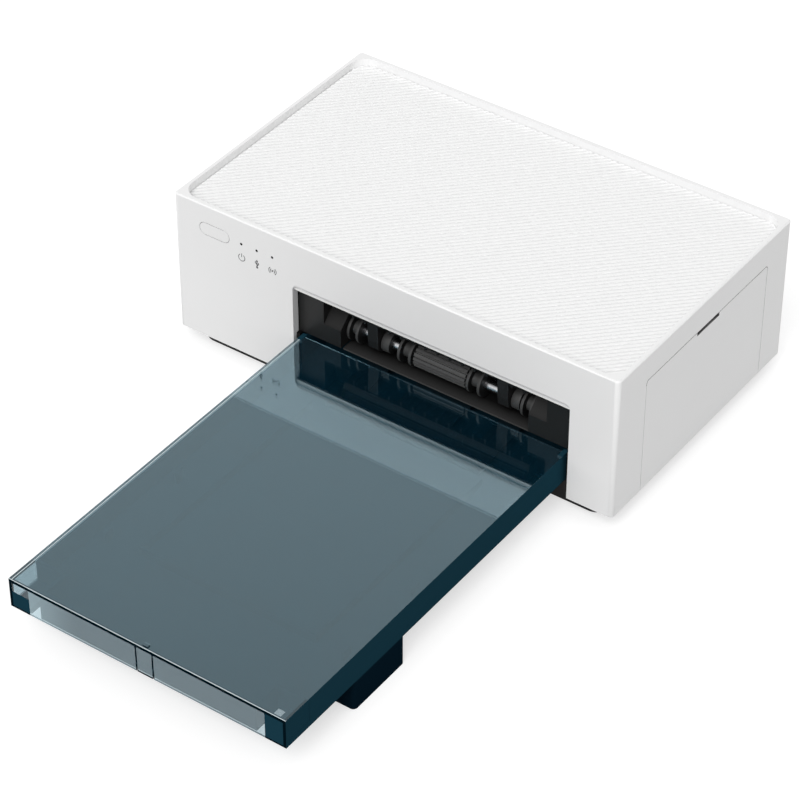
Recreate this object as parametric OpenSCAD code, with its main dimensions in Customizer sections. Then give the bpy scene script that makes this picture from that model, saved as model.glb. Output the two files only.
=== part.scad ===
// Compact photo printer with a tinted paper tray in its front slot and a cartridge door on its right side.
// The origin is on the table under the middle of the whole outline, tray included. +X is to the right
// as seen from the front, +Y is to the back and +Z is up. All sizes are in millimetres. The Y values
// below are counted from the middle of the white body.

/* [Body] */
// Width of the white shell, left to right
body_w = 276; // [272:0.5:280]
// Depth of the white shell, front to back
body_d = 167; // [167:0.5:172]
// Height of the white shell alone
shell_h = 87; // [86.5:0.5:90]
// Gap between the table and the shell's lower edge
plinth_h = 9; // [9:0.5:10]
// Thickness of the shell's walls
wall = 2.6; // [2.2:0.1:2.8]
// Radius of the shell's upright corners
corner_r = 2.5; // [2:0.1:4]
// Bevel of the shell's upper outer edge
top_edge = 0.7; // [0.4:0.1:1.2]

/* [Top panel] */
// Width of the rim beside the panel
rim_side = 2.6; // [2.6:0.1:5]
// Width of the rim in front of and behind the panel
rim_end = 2.8; // [2.6:0.1:8]
// Corner radius of the panel
panel_r = 10; // [6:0.5:14]
// Depth of the recess that the panel lies in
recess_d = 5.4; // [5.2:0.1:6]
// Depth of the ribs' crests below the rim
crest_d = 4.4; // [4.2:0.1:4.6]
// Distance between two neighbouring ribs
rib_pitch = 2.8; // [2.5:0.05:4]
// Width of a rib
rib_w = 1.3; // [1:0.05:1.4]
// Height of a rib
rib_h = 0.45; // [0.3:0.05:0.6]
// Direction of the ribs, from the X axis
rib_angle = 45; // [40:1:50]

/* [Front slot] */
// Middle of the slot, the tray and the paper, to the right of the body's middle
path_x = 24.9; // [22:0.1:25]
// Width of the slot
slot_w = 171.6; // [171:0.1:174]
// Top edge of the slot above the table, below its rounded edge
slot_top = 68; // [67.5:0.1:68.5]
// Corner radius of the slot
slot_r = 3; // [2:0.1:4]
// Depth of the slot's white jamb
jamb_d = 4.5; // [4:0.1:5]

/* [Paper tray] */
// Width of the tray
tray_w = 166; // [164:0.1:166]
// Length of the tray in front of the body
tray_reach = 230; // [215:1:240]
// Underside of the tray above the table
tray_z = 18; // [18:0.1:18.4]
// Height of the tray with its lid
tray_h = 17.5; // [17:0.1:17.6]
// Thickness of the tray's clear plates
plate_t = 2; // [1.8:0.1:2.2]
// Thickness of the tray's side walls
side_t = 2.6; // [2.4:0.1:3]
// Width of the latch tab at the near end
tab_w = 10; // [8:0.5:14]

/* [Door] */
// Front edge of the cartridge door
door_y0 = -57; // [-58:0.5:-56]
// Rear edge of the cartridge door
door_y1 = 61; // [60:0.5:62]
// Top edge of the cartridge door above the table
door_top = 80; // [79:0.5:81]
// Gap round the door
door_gap = 0.35; // [0.3:0.05:0.5]
// Length of the finger notch
notch_l = 21.5; // [18:0.5:24]

/* [Control panel] */
// Middle of the power button, from the body's middle
button_x = -111.5; // [-114:0.1:-110]
// Height of the button, the lamps and the board behind them
control_z = 81; // [80:0.1:82]
// Length of the button
button_w = 19.4; // [17:0.1:20]
// Height of the button
button_h = 7.4; // [6:0.1:8]
// First of the three lamps, from the body's middle
lamp_x = -93.8; // [-95:0.1:-93]
// Distance between two lamps
lamp_pitch = 10.1; // [9.5:0.1:10.5]

/* [Rollers] */
// Exit shaft: distance from the body's middle, front to back
exit_y = -67; // [-67.5:0.1:-66.5]
// Exit shaft: height above the table
exit_z = 44.5; // [44.5:0.1:45]
// Radius of the exit shaft
exit_shaft_r = 3; // [2.5:0.1:3]
// Radius of the thin discs on the exit shaft
disc_r = 7.5; // [7:0.1:7.5]
// Radius of the fluted exit roller
fluted_r = 6.8; // [6:0.1:7]
// Number of flutes of the exit roller
flutes = 16; // [12:1:18]
// Radius of the capstan and of its pinch roller
capstan_r = 4; // [4]
// Radius of the platen roller
platen_r = 8; // [7.5:0.1:8]
// Radius of the pickup roller
pickup_r = 6.8; // [6.4:0.1:6.8]

/* [Gears] */
// Tooth size: pitch circle divided by the number of teeth
gear_module = 1; // [1]
// Teeth of the capstan gear and of the three idlers
teeth_small = 10; // [10]
// Teeth of the pickup and exit gears
teeth_roller = 16; // [16]
// Teeth of the large gear that the feed motor drives
teeth_drive = 26; // [26]
// Teeth of both motor pinions
teeth_pinion = 12; // [12]
// Teeth of the take-up gear
teeth_takeup = 24; // [24]

/* [Hidden] */
$fn = 48;
white = "#ececec";
black = "#242424";
smoke = "#3d5560";
steel = "#b9bcc0";
e = 0.01;

half_w = body_w / 2;
half_d = body_d / 2;
shell_z0 = plinth_h;
shell_z1 = plinth_h + shell_h;
front_y = -half_d;
back_y = half_d;
floor_t = 2;
floor_z1 = shell_z0 + floor_t;
ceiling_z = shell_z1 - recess_d - 1.4;

slot_x0 = path_x - slot_w / 2;
jamb_y = front_y + jamb_d;
lip_back = 1.3;
lip_drop = 2.6;
flare_h = 1.3;
flare_d = 0.5;

tray_y0 = front_y - tray_reach;
tray_y1 = -36;
tray_z1 = tray_z + tray_h;
lid_z0 = tray_z1 - plate_t;
lid_y1 = front_y + 5;
lid_pin_y = lid_y1 - 2;
lid_pin_z = lid_z0 + plate_t / 2;
lid_pin_r = 0.9;
ear_l = 5.5;
pocket = 18;
wall_y0 = tray_y0 + pocket;
base_y0 = tray_y0 + plate_t + 0.4;

door_axis_x = half_w - 4.4;
door_axis_z = shell_z0 + 4.4;
door_pin_r = 1;
knuckle_r = 3;
knuckle_l = 6;
knuckle_ys = [door_y0 + 7, door_y1 - 7 - knuckle_l];

frame_gap = 136;
frame_t = 2;
frame_l = path_x - frame_gap / 2;
frame_r = path_x + frame_gap / 2;
run = 0.05;
capstan_y = -22;
capstan_z = 38;
pinch_z = capstan_z + 2 * capstan_r + 0.3;
platen_y = 2;
platen_z = 36.6;
platen_core_r = 3;
spool_z = 64;
takeup_y = -31;
supply_y = 35;
tube_r = 13.2;
tube_t = 1.2;
roll_r = 9;
pickup_y = -46;
pickup_z = 38;
pickup_shaft_r = 2.5;

gear_x1 = frame_l - frame_t - 1;
gear_w = 4;
gear_x0 = gear_x1 - gear_w;
drive_x1 = gear_x0 - 1;
drive_x0 = drive_x1 - gear_w;
stud_r = 1.5;
head_lift = 2.1;
head_axis_y = 60;
head_axis_z = 83;

disc_t = 1.6;
bracket_offset = 40.5;
bracket_w = 6.6;

// Rounded rectangle about the origin, with true arcs
module rrect(w, h, r) {
    square([w - 2 * r, h], center = true);
    square([w, h - 2 * r], center = true);
    for (sx = [-1, 1], sy = [-1, 1])
        translate([sx * (w / 2 - r), sy * (h / 2 - r)]) circle(r = r);
}

// Everything is drawn about the body's own middle and moved here to its place over the origin
module placed() {
    translate([0, tray_reach / 2, 0]) children();
}

// Box between two corners
module span(a, b) {
    translate(a) cube([b[0] - a[0], b[1] - a[1], b[2] - a[2]]);
}

// Round bar along X
module bar_x(r, x0, x1, y, z) {
    translate([x0, y, z]) rotate([0, 90, 0]) cylinder(r = r, h = x1 - x0);
}

// Round bar along Y
module bar_y(r, y0, y1, x, z) {
    translate([x, y1, z]) rotate([90, 0, 0]) cylinder(r = r, h = y1 - y0);
}

// Drawing in Y and Z, raised along X
module side_plate(x0, x1) {
    translate([x0, 0, 0]) rotate([90, 0, 90]) linear_extrude(x1 - x0) children();
}

// Drawing in X and Z, raised along Y
module front_plate(y0, y1) {
    translate([0, y1, 0]) rotate([90, 0, 0]) linear_extrude(y1 - y0) children();
}

// Involute gear outline: angle that the flank has turned at radius r from a base circle
function roll(r, base) = r <= base ? 0 : tan(acos(base / r)) * 180 / PI - acos(base / r);
pressure = 25;
backlash = 0.24;
function flank(n, r) = 90 / n - backlash / (n * gear_module) * 90 / PI
    + roll(n * gear_module / 2, n * gear_module / 2 * cos(pressure))
    - roll(r, n * gear_module / 2 * cos(pressure));
function tooth_radii(n) = [n * gear_module / 2 - 1.1, n * gear_module / 2 * cos(pressure),
    n * gear_module / 2, n * gear_module / 2 + 0.82];
function polar(r, a) = [r * cos(a), r * sin(a)];

module gear_outline(n, turn) {
    rs = tooth_radii(n);
    polygon([for (i = [0:n - 1]) for (s = [-1, 1]) for (k = s < 0 ? [0, 1, 2, 3] : [3, 2, 1, 0])
        polar(rs[k], turn + i * 360 / n + s * flank(n, rs[k]))]);
}

// Direction from one shaft to another, in the YZ plane
function bearing(a, b) = atan2(b[1] - a[1], b[0] - a[0]);
// Turn of gear b that puts it in mesh with gear a
function meshed(turn_a, n_a, n_b, dir) = dir + 180
    - (0.5 - (dir - turn_a) * n_a / 360) * 360 / n_b;
function apart(n_a, n_b) = (n_a + n_b) * gear_module / 2;
// Point at distance ra from a and rb from b, on the upper side
function upper_point(a, ra, b, rb) = let(d = norm(b - a), u = (b - a) / d,
    s = (ra * ra - rb * rb + d * d) / (2 * d), h = sqrt(ra * ra - s * s)) a + u * s + h * [-u[1], u[0]];

capstan_c = [capstan_y, capstan_z];
pickup_c = [pickup_y, pickup_z];
exit_c = [exit_y, exit_z];
platen_c = [platen_y, platen_z];
idler_a_c = [-26, capstan_z + 9.165];
idler_b_c = upper_point(pickup_c, apart(teeth_roller, teeth_small), idler_a_c, apart(teeth_small, teeth_small));
idler_c_c = upper_point(exit_c, apart(teeth_roller, teeth_small), pickup_c, apart(teeth_roller, teeth_small));
pinion_dir = -30;
pinion_c = capstan_c + apart(teeth_drive, teeth_pinion) * [cos(pinion_dir), sin(pinion_dir)];
takeup_c = [takeup_y, spool_z];
ribbon_dir = 62;
ribbon_c = takeup_c + apart(teeth_takeup, teeth_pinion) * [cos(ribbon_dir), sin(ribbon_dir)];
turn_capstan = 0;
turn_idler_a = meshed(turn_capstan, teeth_small, teeth_small, bearing(capstan_c, idler_a_c));
turn_idler_b = meshed(turn_idler_a, teeth_small, teeth_small, bearing(idler_a_c, idler_b_c));
turn_pickup = meshed(turn_idler_b, teeth_small, teeth_roller, bearing(idler_b_c, pickup_c));
turn_idler_c = meshed(turn_pickup, teeth_roller, teeth_small, bearing(pickup_c, idler_c_c));
turn_exit = meshed(turn_idler_c, teeth_small, teeth_roller, bearing(idler_c_c, exit_c));
turn_pinion = meshed(turn_capstan, teeth_drive, teeth_pinion, pinion_dir);
turn_takeup = 0;
turn_ribbon = meshed(turn_takeup, teeth_takeup, teeth_pinion, ribbon_dir);

module gear(n, turn, c, bore, x0 = gear_x0, x1 = gear_x1) {
    difference() {
        side_plate(x0, x1) translate(c) gear_outline(n, turn);
        bar_x(bore, x0 - 1, x1 + 1, c[0], c[1]);
    }
}

module outer_shell() {
    color(white) placed() difference() {
        union() {
            difference() {
                shell_block();
                translate([0, 0, shell_z0 - 1]) linear_extrude(ceiling_z - shell_z0 + 1)
                    rrect(body_w - 2 * wall, body_d - 2 * wall, 1);
            }
            slot_jamb();
            door_jamb();
            inner_posts();
        }
        translate([0, 0, shell_z1 - recess_d]) linear_extrude(recess_d + 1) panel_outline(0);
        slot_cut();
        side_plate(half_w - wall - 3, half_w + 1) door_outline(0);
        front_plate(front_y - 1, front_y + wall + 1) button_outline(0.25);
        for (i = [0:2]) bar_y(0.8, front_y - 1, front_y + wall + 1, lamp_x + i * lamp_pitch, control_z);
        back_openings();
    }
}

// Solid block of the shell, its upper edge bevelled
module shell_block() {
    z1 = shell_z1 - top_edge;
    translate([0, 0, shell_z0]) linear_extrude(shell_h - top_edge + e) rrect(body_w, body_d, corner_r);
    hull() {
        translate([0, 0, z1]) linear_extrude(e) rrect(body_w, body_d, corner_r);
        translate([0, 0, shell_z1 - e]) linear_extrude(e)
            rrect(body_w - 2 * top_edge, body_d - 2 * top_edge, corner_r - top_edge);
    }
}

module panel_outline(gap) {
    rrect(body_w - 2 * rim_side - 2 * gap, body_d - 2 * rim_end - 2 * gap, panel_r - gap);
}

// White return round the slot, with the lip behind its upper edge
module slot_jamb() {
    z0 = floor_z1 + 0.1;
    front_plate(front_y + wall - e, jamb_y) difference() {
        translate([path_x, (slot_top + 2.4 + z0) / 2])
            square([slot_w + 4.8, slot_top + 2.4 - z0], center = true);
        slot_outline(0);
    }
}

module slot_outline(drop) {
    translate([path_x, (slot_top - drop) / 2]) rrect(slot_w, slot_top - drop, slot_r);
}

// Slot with a rounded upper edge, stepped down behind it to the lip
module slot_cut() {
    front_plate(front_y - 1, front_y + lip_back) slot_outline(0);
    hull() {
        front_plate(front_y - 1, front_y) slot_outline(-flare_h);
        front_plate(front_y, front_y + flare_d * 0.35) slot_outline(-flare_h * 0.45);
    }
    hull() {
        front_plate(front_y - 1, front_y + flare_d * 0.35) slot_outline(-flare_h * 0.45);
        front_plate(front_y, front_y + flare_d) slot_outline(0);
    }
    front_plate(front_y + lip_back - e, jamb_y + 1) intersection() {
        slot_outline(0);
        translate([slot_x0, 0]) square([slot_w, slot_top - lip_drop]);
    }
}

// Flange inside the side wall that the door closes against
module door_jamb() {
    z0 = floor_z1 + 0.1;
    side_plate(half_w - wall - 1.4, half_w - wall + e) difference() {
        translate([(door_y0 + door_y1) / 2, (z0 + door_top + 3) / 2])
            square([door_y1 - door_y0 + 6, door_top + 3 - z0], center = true);
        translate([(door_y0 + door_y1) / 2, (door_top - 2) / 2])
            square([door_y1 - door_y0 - 4, door_top - 2], center = true);
    }
}

module door_outline(gap) {
    w = door_y1 - door_y0 - 2 * gap;
    h = door_top - shell_z0 - gap;
    translate([(door_y0 + door_y1) / 2, shell_z0 + h / 2]) {
        rrect(w, h, 2);
        translate([0, -h / 2 + 2]) square([w, 4], center = true);
    }
}

module button_outline(gap) {
    translate([button_x, control_z])
        rrect(button_w + 2 * gap, button_h + 2 * gap, button_h / 2 + gap - e);
}

vent_count = 11;
vent_pitch = 4.6;
vent_x = -78;
vent_z = 50;
mainboard_x = -half_w + wall + 6;
board_t = 1.6;
dc_x = -118;
dc_z = 27;
usb_x = mainboard_x + board_t + 1.65;
usb_z = 46;
post_h = 9;
board_y = front_y + wall + 7.2;
rear_slot_z = 47.5;

module back_openings() {
    front_plate(back_y - wall - 1, back_y + 1) {
        for (i = [0:vent_count - 1]) translate([vent_x + (i - (vent_count - 1) / 2) * vent_pitch, vent_z])
            rrect(2.2, 38, 1.05);
        translate([usb_x, usb_z]) rrect(3.9, 9.6, 1.9);
        translate([path_x, rear_slot_z]) rrect(112, 7, 2);
    }
    bar_y(4.2, back_y - wall - 1, back_y + 1, dc_x, dc_z);
}

// Posts for the case screws and bosses for the two boards
module inner_posts() {
    for (p = screw_points) {
        sy = sign(p[1]);
        translate([p[0], p[1], floor_z1]) difference() {
            union() {
                cylinder(r = 3, h = post_h);
                translate([-1, sy > 0 ? 0 : -(half_d - wall - abs(p[1])) - e, 0])
                    cube([2, half_d - wall - abs(p[1]) + e, post_h]);
            }
            translate([0, 0, -1]) cylinder(r = 1.5, h = post_h);
        }
    }
    for (x = [button_x - 11, lamp_x + 2 * lamp_pitch + 5])
        bar_y(2, front_y + wall - e, board_y, x, control_z - 5);
    for (y = [-60, 66], z = [20, 82]) bar_x(2.4, -half_w + wall - e, mainboard_x, y, z);
}

module top_panel() {
    z0 = shell_z1 - recess_d;
    plate = recess_d - crest_d - rib_h;
    half_n = ceil((body_w + body_d) / 2 / rib_pitch * 0.75);
    color(white) placed() translate([0, 0, z0]) {
        linear_extrude(plate) panel_outline(0.15);
        translate([0, 0, plate - e]) linear_extrude(rib_h + e) intersection() {
            panel_outline(0.5);
            rotate(rib_angle) for (i = [-half_n:half_n])
                translate([-body_w, i * rib_pitch - rib_w / 2]) square([2 * body_w, rib_w]);
        }
    }
}

plinth_side = 9.5;
plinth_front = 5.9;
foot_r = 7;
foot_t = 1.5;
foot_xs = [-half_w + 30, half_w - 30];
foot_ys = [front_y + 21, back_y - 21];

module base_plinth() {
    sweep = 7.2;
    color(black) placed() difference() {
        union() {
            translate([0, 0, foot_t]) linear_extrude(shell_z0 - foot_t + e)
                rrect(body_w - 2 * plinth_side, body_d - 2 * plinth_front, 8);
            translate([0, 0, shell_z0]) linear_extrude(floor_t)
                rrect(body_w - 2 * wall - 0.4, body_d - 2 * wall - 0.4, 1);
            for (y = knuckle_ys) hinge_ear(y + knuckle_l + 0.4);
        }
        span([half_w - sweep - wall - 2, door_y0 - 1, shell_z0 - 1], [half_w, door_y1 + 1, floor_z1 + e]);
        for (y = knuckle_ys) bar_x_pin_hole(y + knuckle_l + 0.4);
        for (x = foot_xs, y = foot_ys) translate([x, y, foot_t - e]) cylinder(r = foot_r + 0.1, h = 0.8);
        for (p = screw_points) translate([p[0], p[1], foot_t - 1]) {
            cylinder(r = 3.2, h = 4);
            cylinder(r = 1.6, h = 12);
        }
        for (i = [-4:4]) translate([-90 + i * 5, 10, foot_t + 3.5]) linear_extrude(3.5) rrect(2.4, 44, 1.1);
    }
}

ear_t = 3;
screw_points = [[-118, -72], [118, -72], [-118, 72], [118, 72]];

// Ear of the base that carries a hinge pin of the door
module hinge_ear(y) {
    front_plate(y, y + ear_t) {
        translate([door_axis_x, door_axis_z]) circle(r = 2.5);
        polygon([[door_axis_x - 14, shell_z0], [door_axis_x - 8, shell_z0],
            [door_axis_x - 7.4, door_axis_z - 1], [door_axis_x, door_axis_z - 0.5],
            [door_axis_x, door_axis_z + 2.5], [door_axis_x - 14, door_axis_z + 2.5]]);
    }
}

module bar_x_pin_hole(y) {
    bar_y(door_pin_r, y - 1, y + ear_t + 1, door_axis_x, door_axis_z);
}

module door_pins() {
    color(steel) placed() for (y = knuckle_ys)
        bar_y(door_pin_r, y + 0.8, y + knuckle_l + 0.4 + ear_t, door_axis_x, door_axis_z);
}

module rubber_feet() {
    color("#1c1c1c") placed() for (x = foot_xs, y = foot_ys)
        translate([x, y, 0]) cylinder(r = foot_r, h = foot_t + 0.8 - e);
}

module case_screws() {
    color(steel) placed() for (p = screw_points) translate([p[0], p[1], foot_t + 1]) difference() {
        union() {
            cylinder(r = 3, h = 2 - e);
            translate([0, 0, 2 - e]) cylinder(r = 1.5, h = 6);
        }
        for (a = [0, 90]) rotate(a) translate([-1.8, -0.4, -e]) cube([3.6, 0.8, 1.2]);
    }
}

module cartridge_door() {
    mid = (door_y0 + door_y1) / 2;
    color(white) placed() difference() {
        union() {
            side_plate(half_w - wall, half_w) door_outline(door_gap);
            side_plate(half_w - wall - 1.2, half_w - wall + e) difference() {
                translate([mid, 44]) rrect(door_y1 - door_y0 - 7, 60, 3);
                translate([mid, 44]) rrect(door_y1 - door_y0 - 10, 57, 2);
            }
            for (y = [mid - 30, mid + 30])
                span([half_w - wall - 5, y - 4, door_top - 4.4], [half_w - wall + e, y + 4, door_top - 2.6]);
            for (y = knuckle_ys) bar_y(knuckle_r, y, y + knuckle_l, door_axis_x, door_axis_z);
            for (y = knuckle_ys)
                span([door_axis_x, y, door_axis_z - knuckle_r],
                    [half_w - wall + e, y + knuckle_l, door_axis_z + knuckle_r]);
        }
        for (y = knuckle_ys) {
            bar_y(door_pin_r + run, y - 1, y + knuckle_l + 1, door_axis_x, door_axis_z);
            bar_y(2.9, y + knuckle_l, y + knuckle_l + ear_t + 0.8, door_axis_x, door_axis_z);
        }
        notch_cut();
    }
}

notch_mid = 1.8;

// Finger notch in the door's upper edge
module notch_cut() {
    translate([half_w - wall - 2, notch_mid - notch_l / 2, door_top - 2.4]) cube([wall + 4, notch_l, 4]);
}

module power_button() {
    color(white) placed() {
        front_plate(front_y, front_y + wall + 0.1) button_outline(0);
        front_plate(front_y + wall + 0.05, front_y + wall + 1.1) button_outline(0.9);
        bar_y(1.6, front_y + wall + 1, front_y + wall + 3.4, button_x, control_z);
    }
}

module power_switch() {
    color("#303030") placed() {
        span([button_x - 3, board_y - 2, control_z - 3], [button_x + 3, board_y, control_z + 3]);
        bar_y(1.6, board_y - 2.9, board_y - 2 + e, button_x, control_z);
    }
}

module status_lamps() {
    color("#101010") placed() for (i = [0:2]) {
        bar_y(0.75, front_y, front_y + wall + 0.5 + e, lamp_x + i * lamp_pitch, control_z);
        bar_y(1.5, front_y + wall + 0.5, board_y, lamp_x + i * lamp_pitch, control_z);
    }
}

module front_board() {
    color("#1f5a3a") placed() span([button_x - 14, board_y, control_z - 8],
        [lamp_x + 2 * lamp_pitch + 8, board_y + board_t, control_z + 7]);
}

cheek_out = slot_w / 2 - 0.3;
block_out = 70.6;
block_in = 58.6;
cheek_y = jamb_y + 0.4;
cheek_t = 2;
liner_y1 = -59;
liner_z0 = tray_z1 + 1;
liner_z1 = slot_top - lip_drop + 3;
header_z = 57.5;

// Cheeks, blocks and header behind the slot, in one piece
module slot_liner() {
    color(black) placed() translate([path_x, 0, 0]) difference() {
        union() {
            front_plate(cheek_y, cheek_y + cheek_t) for (s = [-1, 1]) side_face(s);
            for (s = [-1, 1]) block(s);
            header();
        }
        bar_x(exit_shaft_r + run, -cheek_out - 1, cheek_out + 1, exit_y, exit_z);
    }
}

// Flat cheek beside the blocks
module side_face(s) {
    translate([s * (cheek_out + block_out - e) / 2, (liner_z0 + liner_z1) / 2])
        square([cheek_out - block_out + e, liner_z1 - liner_z0], center = true);
}

// Hollow block with a sloped top, carrying one end of the exit shaft
module block(s) {
    x0 = s > 0 ? block_in : -block_out;
    side_plate(x0, x0 + block_out - block_in) difference() {
        polygon([[cheek_y, liner_z0], [cheek_y, 47.6], [cheek_y + 1, 48.4], [cheek_y + 9, 56],
            [cheek_y + 10, liner_z1], [liner_y1, liner_z1], [liner_y1, liner_z0]]);
        polygon([[-62, 53], [-62, 60], [liner_y1 + 1, 60], [liner_y1 + 1, 53]]);
    }
    if (s < 0) side_plate(x0 - e, x0 + 1.2) polygon([[cheek_y + e, liner_z0], [cheek_y + e, liner_z1],
        [cheek_y + 10, liner_z1], [cheek_y + 10, liner_z0]]);
    if (s > 0) side_plate(x0 + block_out - block_in - 1.2, x0 + block_out - block_in + e)
        polygon([[cheek_y + e, liner_z0], [cheek_y + e, liner_z1], [cheek_y + 10, liner_z1],
            [cheek_y + 10, liner_z0]]);
}

// Beam over the exit rollers, ribbed underneath
module header() {
    side_plate(-block_in - e, block_in + e) polygon([[cheek_y, liner_z1], [cheek_y, 62.6],
        [cheek_y + 1.4, 62.6], [cheek_y + 2.6, header_z + 1], [liner_y1, header_z], [liner_y1, liner_z1]]);
    for (i = [-7, -6, -4, -3, -2, -1, 0, 1, 2, 3, 4, 6, 7])
        span([i * 7.6 - 0.6, cheek_y + 3.6, header_z - 1.4], [i * 7.6 + 0.6, liner_y1 - 1, header_z + 2]);
}

module tray_guide() {
    gap = 0.4;
    side_in = tray_w / 2 + 0.6;
    side_out = slot_w / 2 - 0.3;
    color(black) placed() translate([path_x, 0, 0]) {
        difference() {
            span([-side_out, jamb_y - 2, floor_z1], [side_out, tray_y1 + 4, tray_z - gap]);
            span([-side_in, jamb_y + 1, floor_z1 - 1], [side_in, tray_y1 + 2, tray_z - gap - 2.2]);
        }
        for (s = [-1, 1]) {
            x = s > 0 ? side_in : -side_out;
            span([x, jamb_y - 2, tray_z - gap - e], [x + side_out - side_in, tray_y1 + 4, tray_z1 + 0.8]);
        }
    }
}

module paper_ramp() {
    color("#6b6864") placed() translate([path_x, 0, 0]) side_plate(-block_in, block_in)
        polygon([[lid_y1 + 1.9, 34.4], [lid_y1 + 1.9, 35.4], [exit_y, 36.1], [-57.2, 37.6], [-57.2, 36.3],
            [exit_y, 34.9]]);
}

module shaft_brackets() {
    color("#2e2e2e") placed() translate([path_x, 0, 0]) for (s = [-1, 1])
        side_plate(s * bracket_offset - bracket_w / 2, s * bracket_offset + bracket_w / 2) difference() {
            polygon([[-75.4, header_z + 0.95], [-75.2, 47], [-74.4, 42], [-71.5, 39.2], [-66, 38.6], [-60, 46],
                [-60, header_z + 0.05]]);
            translate([exit_y, exit_z]) circle(r = exit_shaft_r + run);
        }
}

module exit_shaft() {
    color(steel) placed() bar_x(exit_shaft_r, gear_x0 - 1, path_x + block_out + 3, exit_y, exit_z);
}

module exit_roller() {
    length = 32;
    color("#3a3a3a") placed() difference() {
        side_plate(path_x - length / 2, path_x + length / 2) translate([exit_y, exit_z]) difference() {
            circle(r = fluted_r);
            for (i = [0:flutes - 1]) rotate(i * 360 / flutes) translate([fluted_r, 0])
                polygon([[-1.1, -0.28], [0.6, -0.75], [0.6, 0.75], [-1.1, 0.28]]);
        }
        bar_x(exit_shaft_r, path_x - length, path_x + length, exit_y, exit_z);
    }
}

module exit_discs() {
    color("#343434") placed() translate([path_x, 0, 0])
        for (s = [-1, 1], pair = [[18, 24.9], [51.4, 57]])
            difference() {
                union() {
                    for (d = pair) bar_x(disc_r, s * d - disc_t / 2, s * d + disc_t / 2, exit_y, exit_z);
                    bar_x(4, min(s * pair[0], s * pair[1]), max(s * pair[0], s * pair[1]), exit_y, exit_z);
                }
                bar_x(exit_shaft_r, -90, 90, exit_y, exit_z);
            }
    color("#2a2a2a") placed() translate([path_x, 0, 0])
        for (x = [-bracket_offset + 3.6, bracket_offset + 3.6])
            difference() {
                bar_x(6, x, x + 5, exit_y, exit_z);
                bar_x(exit_shaft_r, x - 1, x + 9, exit_y, exit_z);
            }
}

module exit_gear() {
    color("#d8d4c8") placed() gear(teeth_roller, turn_exit, exit_c, exit_shaft_r);
}

frame_top = 86;

module frame_outline(open_side) {
    foot_y = tray_y1 + 4.5;
    difference() {
        polygon([[liner_y1 + 0.4, 30], [liner_y1 + 0.4, frame_top], [70, frame_top], [70, floor_z1],
            [foot_y, floor_z1], [foot_y, 30]]);
        translate(pickup_c) circle(r = pickup_shaft_r + run);
        translate(capstan_c) circle(r = capstan_r - 1 + run);
        translate([capstan_y, pinch_z]) circle(r = 1.5 + run);
        translate(platen_c) circle(r = platen_core_r + run);
        translate([head_axis_y, head_axis_z]) circle(r = 2);
        if (open_side) {
            translate([(takeup_y + supply_y) / 2, 65.8]) rrect(supply_y - takeup_y + 2 * tube_r + 3, 31, 4);
            translate([2, 52]) square([42, 15.4], center = true);
        } else {
            translate(takeup_c) circle(r = 4 + run);
            for (c = [idler_a_c, idler_b_c, idler_c_c]) translate(c) circle(r = stud_r);
        }
        translate([46, 28]) rrect(30, 20, 4);
    }
}

module left_frame() {
    color("#a9adb1") placed() {
        side_plate(frame_l - frame_t, frame_l) frame_outline(false);
        span([frame_l - 12, 40, floor_z1], [frame_l - frame_t + e, 68, floor_z1 + frame_t]);
    }
}

module right_frame() {
    color("#a9adb1") placed() {
        side_plate(frame_r, frame_r + frame_t) frame_outline(true);
        span([frame_r + frame_t - e, 40, floor_z1], [frame_r + 12, 68, floor_z1 + frame_t]);
    }
}

module frame_stays() {
    color("#a9adb1") placed() {
        span([frame_l, 66, 70], [frame_r, 68, frame_top]);
        span([frame_l, -56, 82], [frame_r, -44, 84]);
        span([frame_l, 16, 16], [frame_r, 18, 34]);
    }
}

module capstan() {
    color(steel) placed() {
        bar_x(capstan_r, frame_l + 3, frame_r - 3, capstan_y, capstan_z);
        bar_x(capstan_r - 1, drive_x0 - 0.6, frame_r + frame_t + 1, capstan_y, capstan_z);
    }
}

module capstan_gear() {
    color("#d8d4c8") placed() {
        gear(teeth_small, turn_capstan, capstan_c, capstan_r - 1);
        gear(teeth_drive, turn_capstan, capstan_c, capstan_r - 1, drive_x0, drive_x1);
        difference() {
            bar_x(4.2, drive_x1 - e, gear_x0 + e, capstan_y, capstan_z);
            bar_x(capstan_r - 1, drive_x0, gear_x1, capstan_y, capstan_z);
        }
    }
}

module pinch_roller() {
    color("#8f8f8f") placed() {
        bar_x(capstan_r, frame_l + 14, frame_r - 14, capstan_y, pinch_z);
        bar_x(1.5, frame_l - frame_t, frame_r + frame_t, capstan_y, pinch_z);
    }
}

module platen_roller() {
    color("#3b3b3b") placed() difference() {
        bar_x(platen_r, path_x - 56, path_x + 56, platen_y, platen_z);
        bar_x(platen_core_r, path_x - 60, path_x + 60, platen_y, platen_z);
    }
}

module platen_shaft() {
    color(steel) placed()
        bar_x(platen_core_r, frame_l - frame_t - 0.6, frame_r + frame_t + 0.6, platen_y, platen_z);
}

module capstan_idler() {
    color("#e0dccf") placed() gear(teeth_small, turn_idler_a, idler_a_c, stud_r + run);
}

module pickup_idler() {
    color("#e0dccf") placed() gear(teeth_small, turn_idler_b, idler_b_c, stud_r + run);
}

module exit_idler() {
    color("#e0dccf") placed() gear(teeth_small, turn_idler_c, idler_c_c, stud_r + run);
}

module idler_studs() {
    color(steel) placed() for (c = [idler_a_c, idler_b_c, idler_c_c]) {
        bar_x(stud_r, gear_x0 - 0.4, frame_l, c[0], c[1]);
        bar_x(2.4, gear_x0 - 0.9, gear_x0 - 0.4 + e, c[0], c[1]);
        bar_x(2.4, gear_x1 + 0.4, frame_l - frame_t, c[0], c[1]);
    }
}

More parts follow.
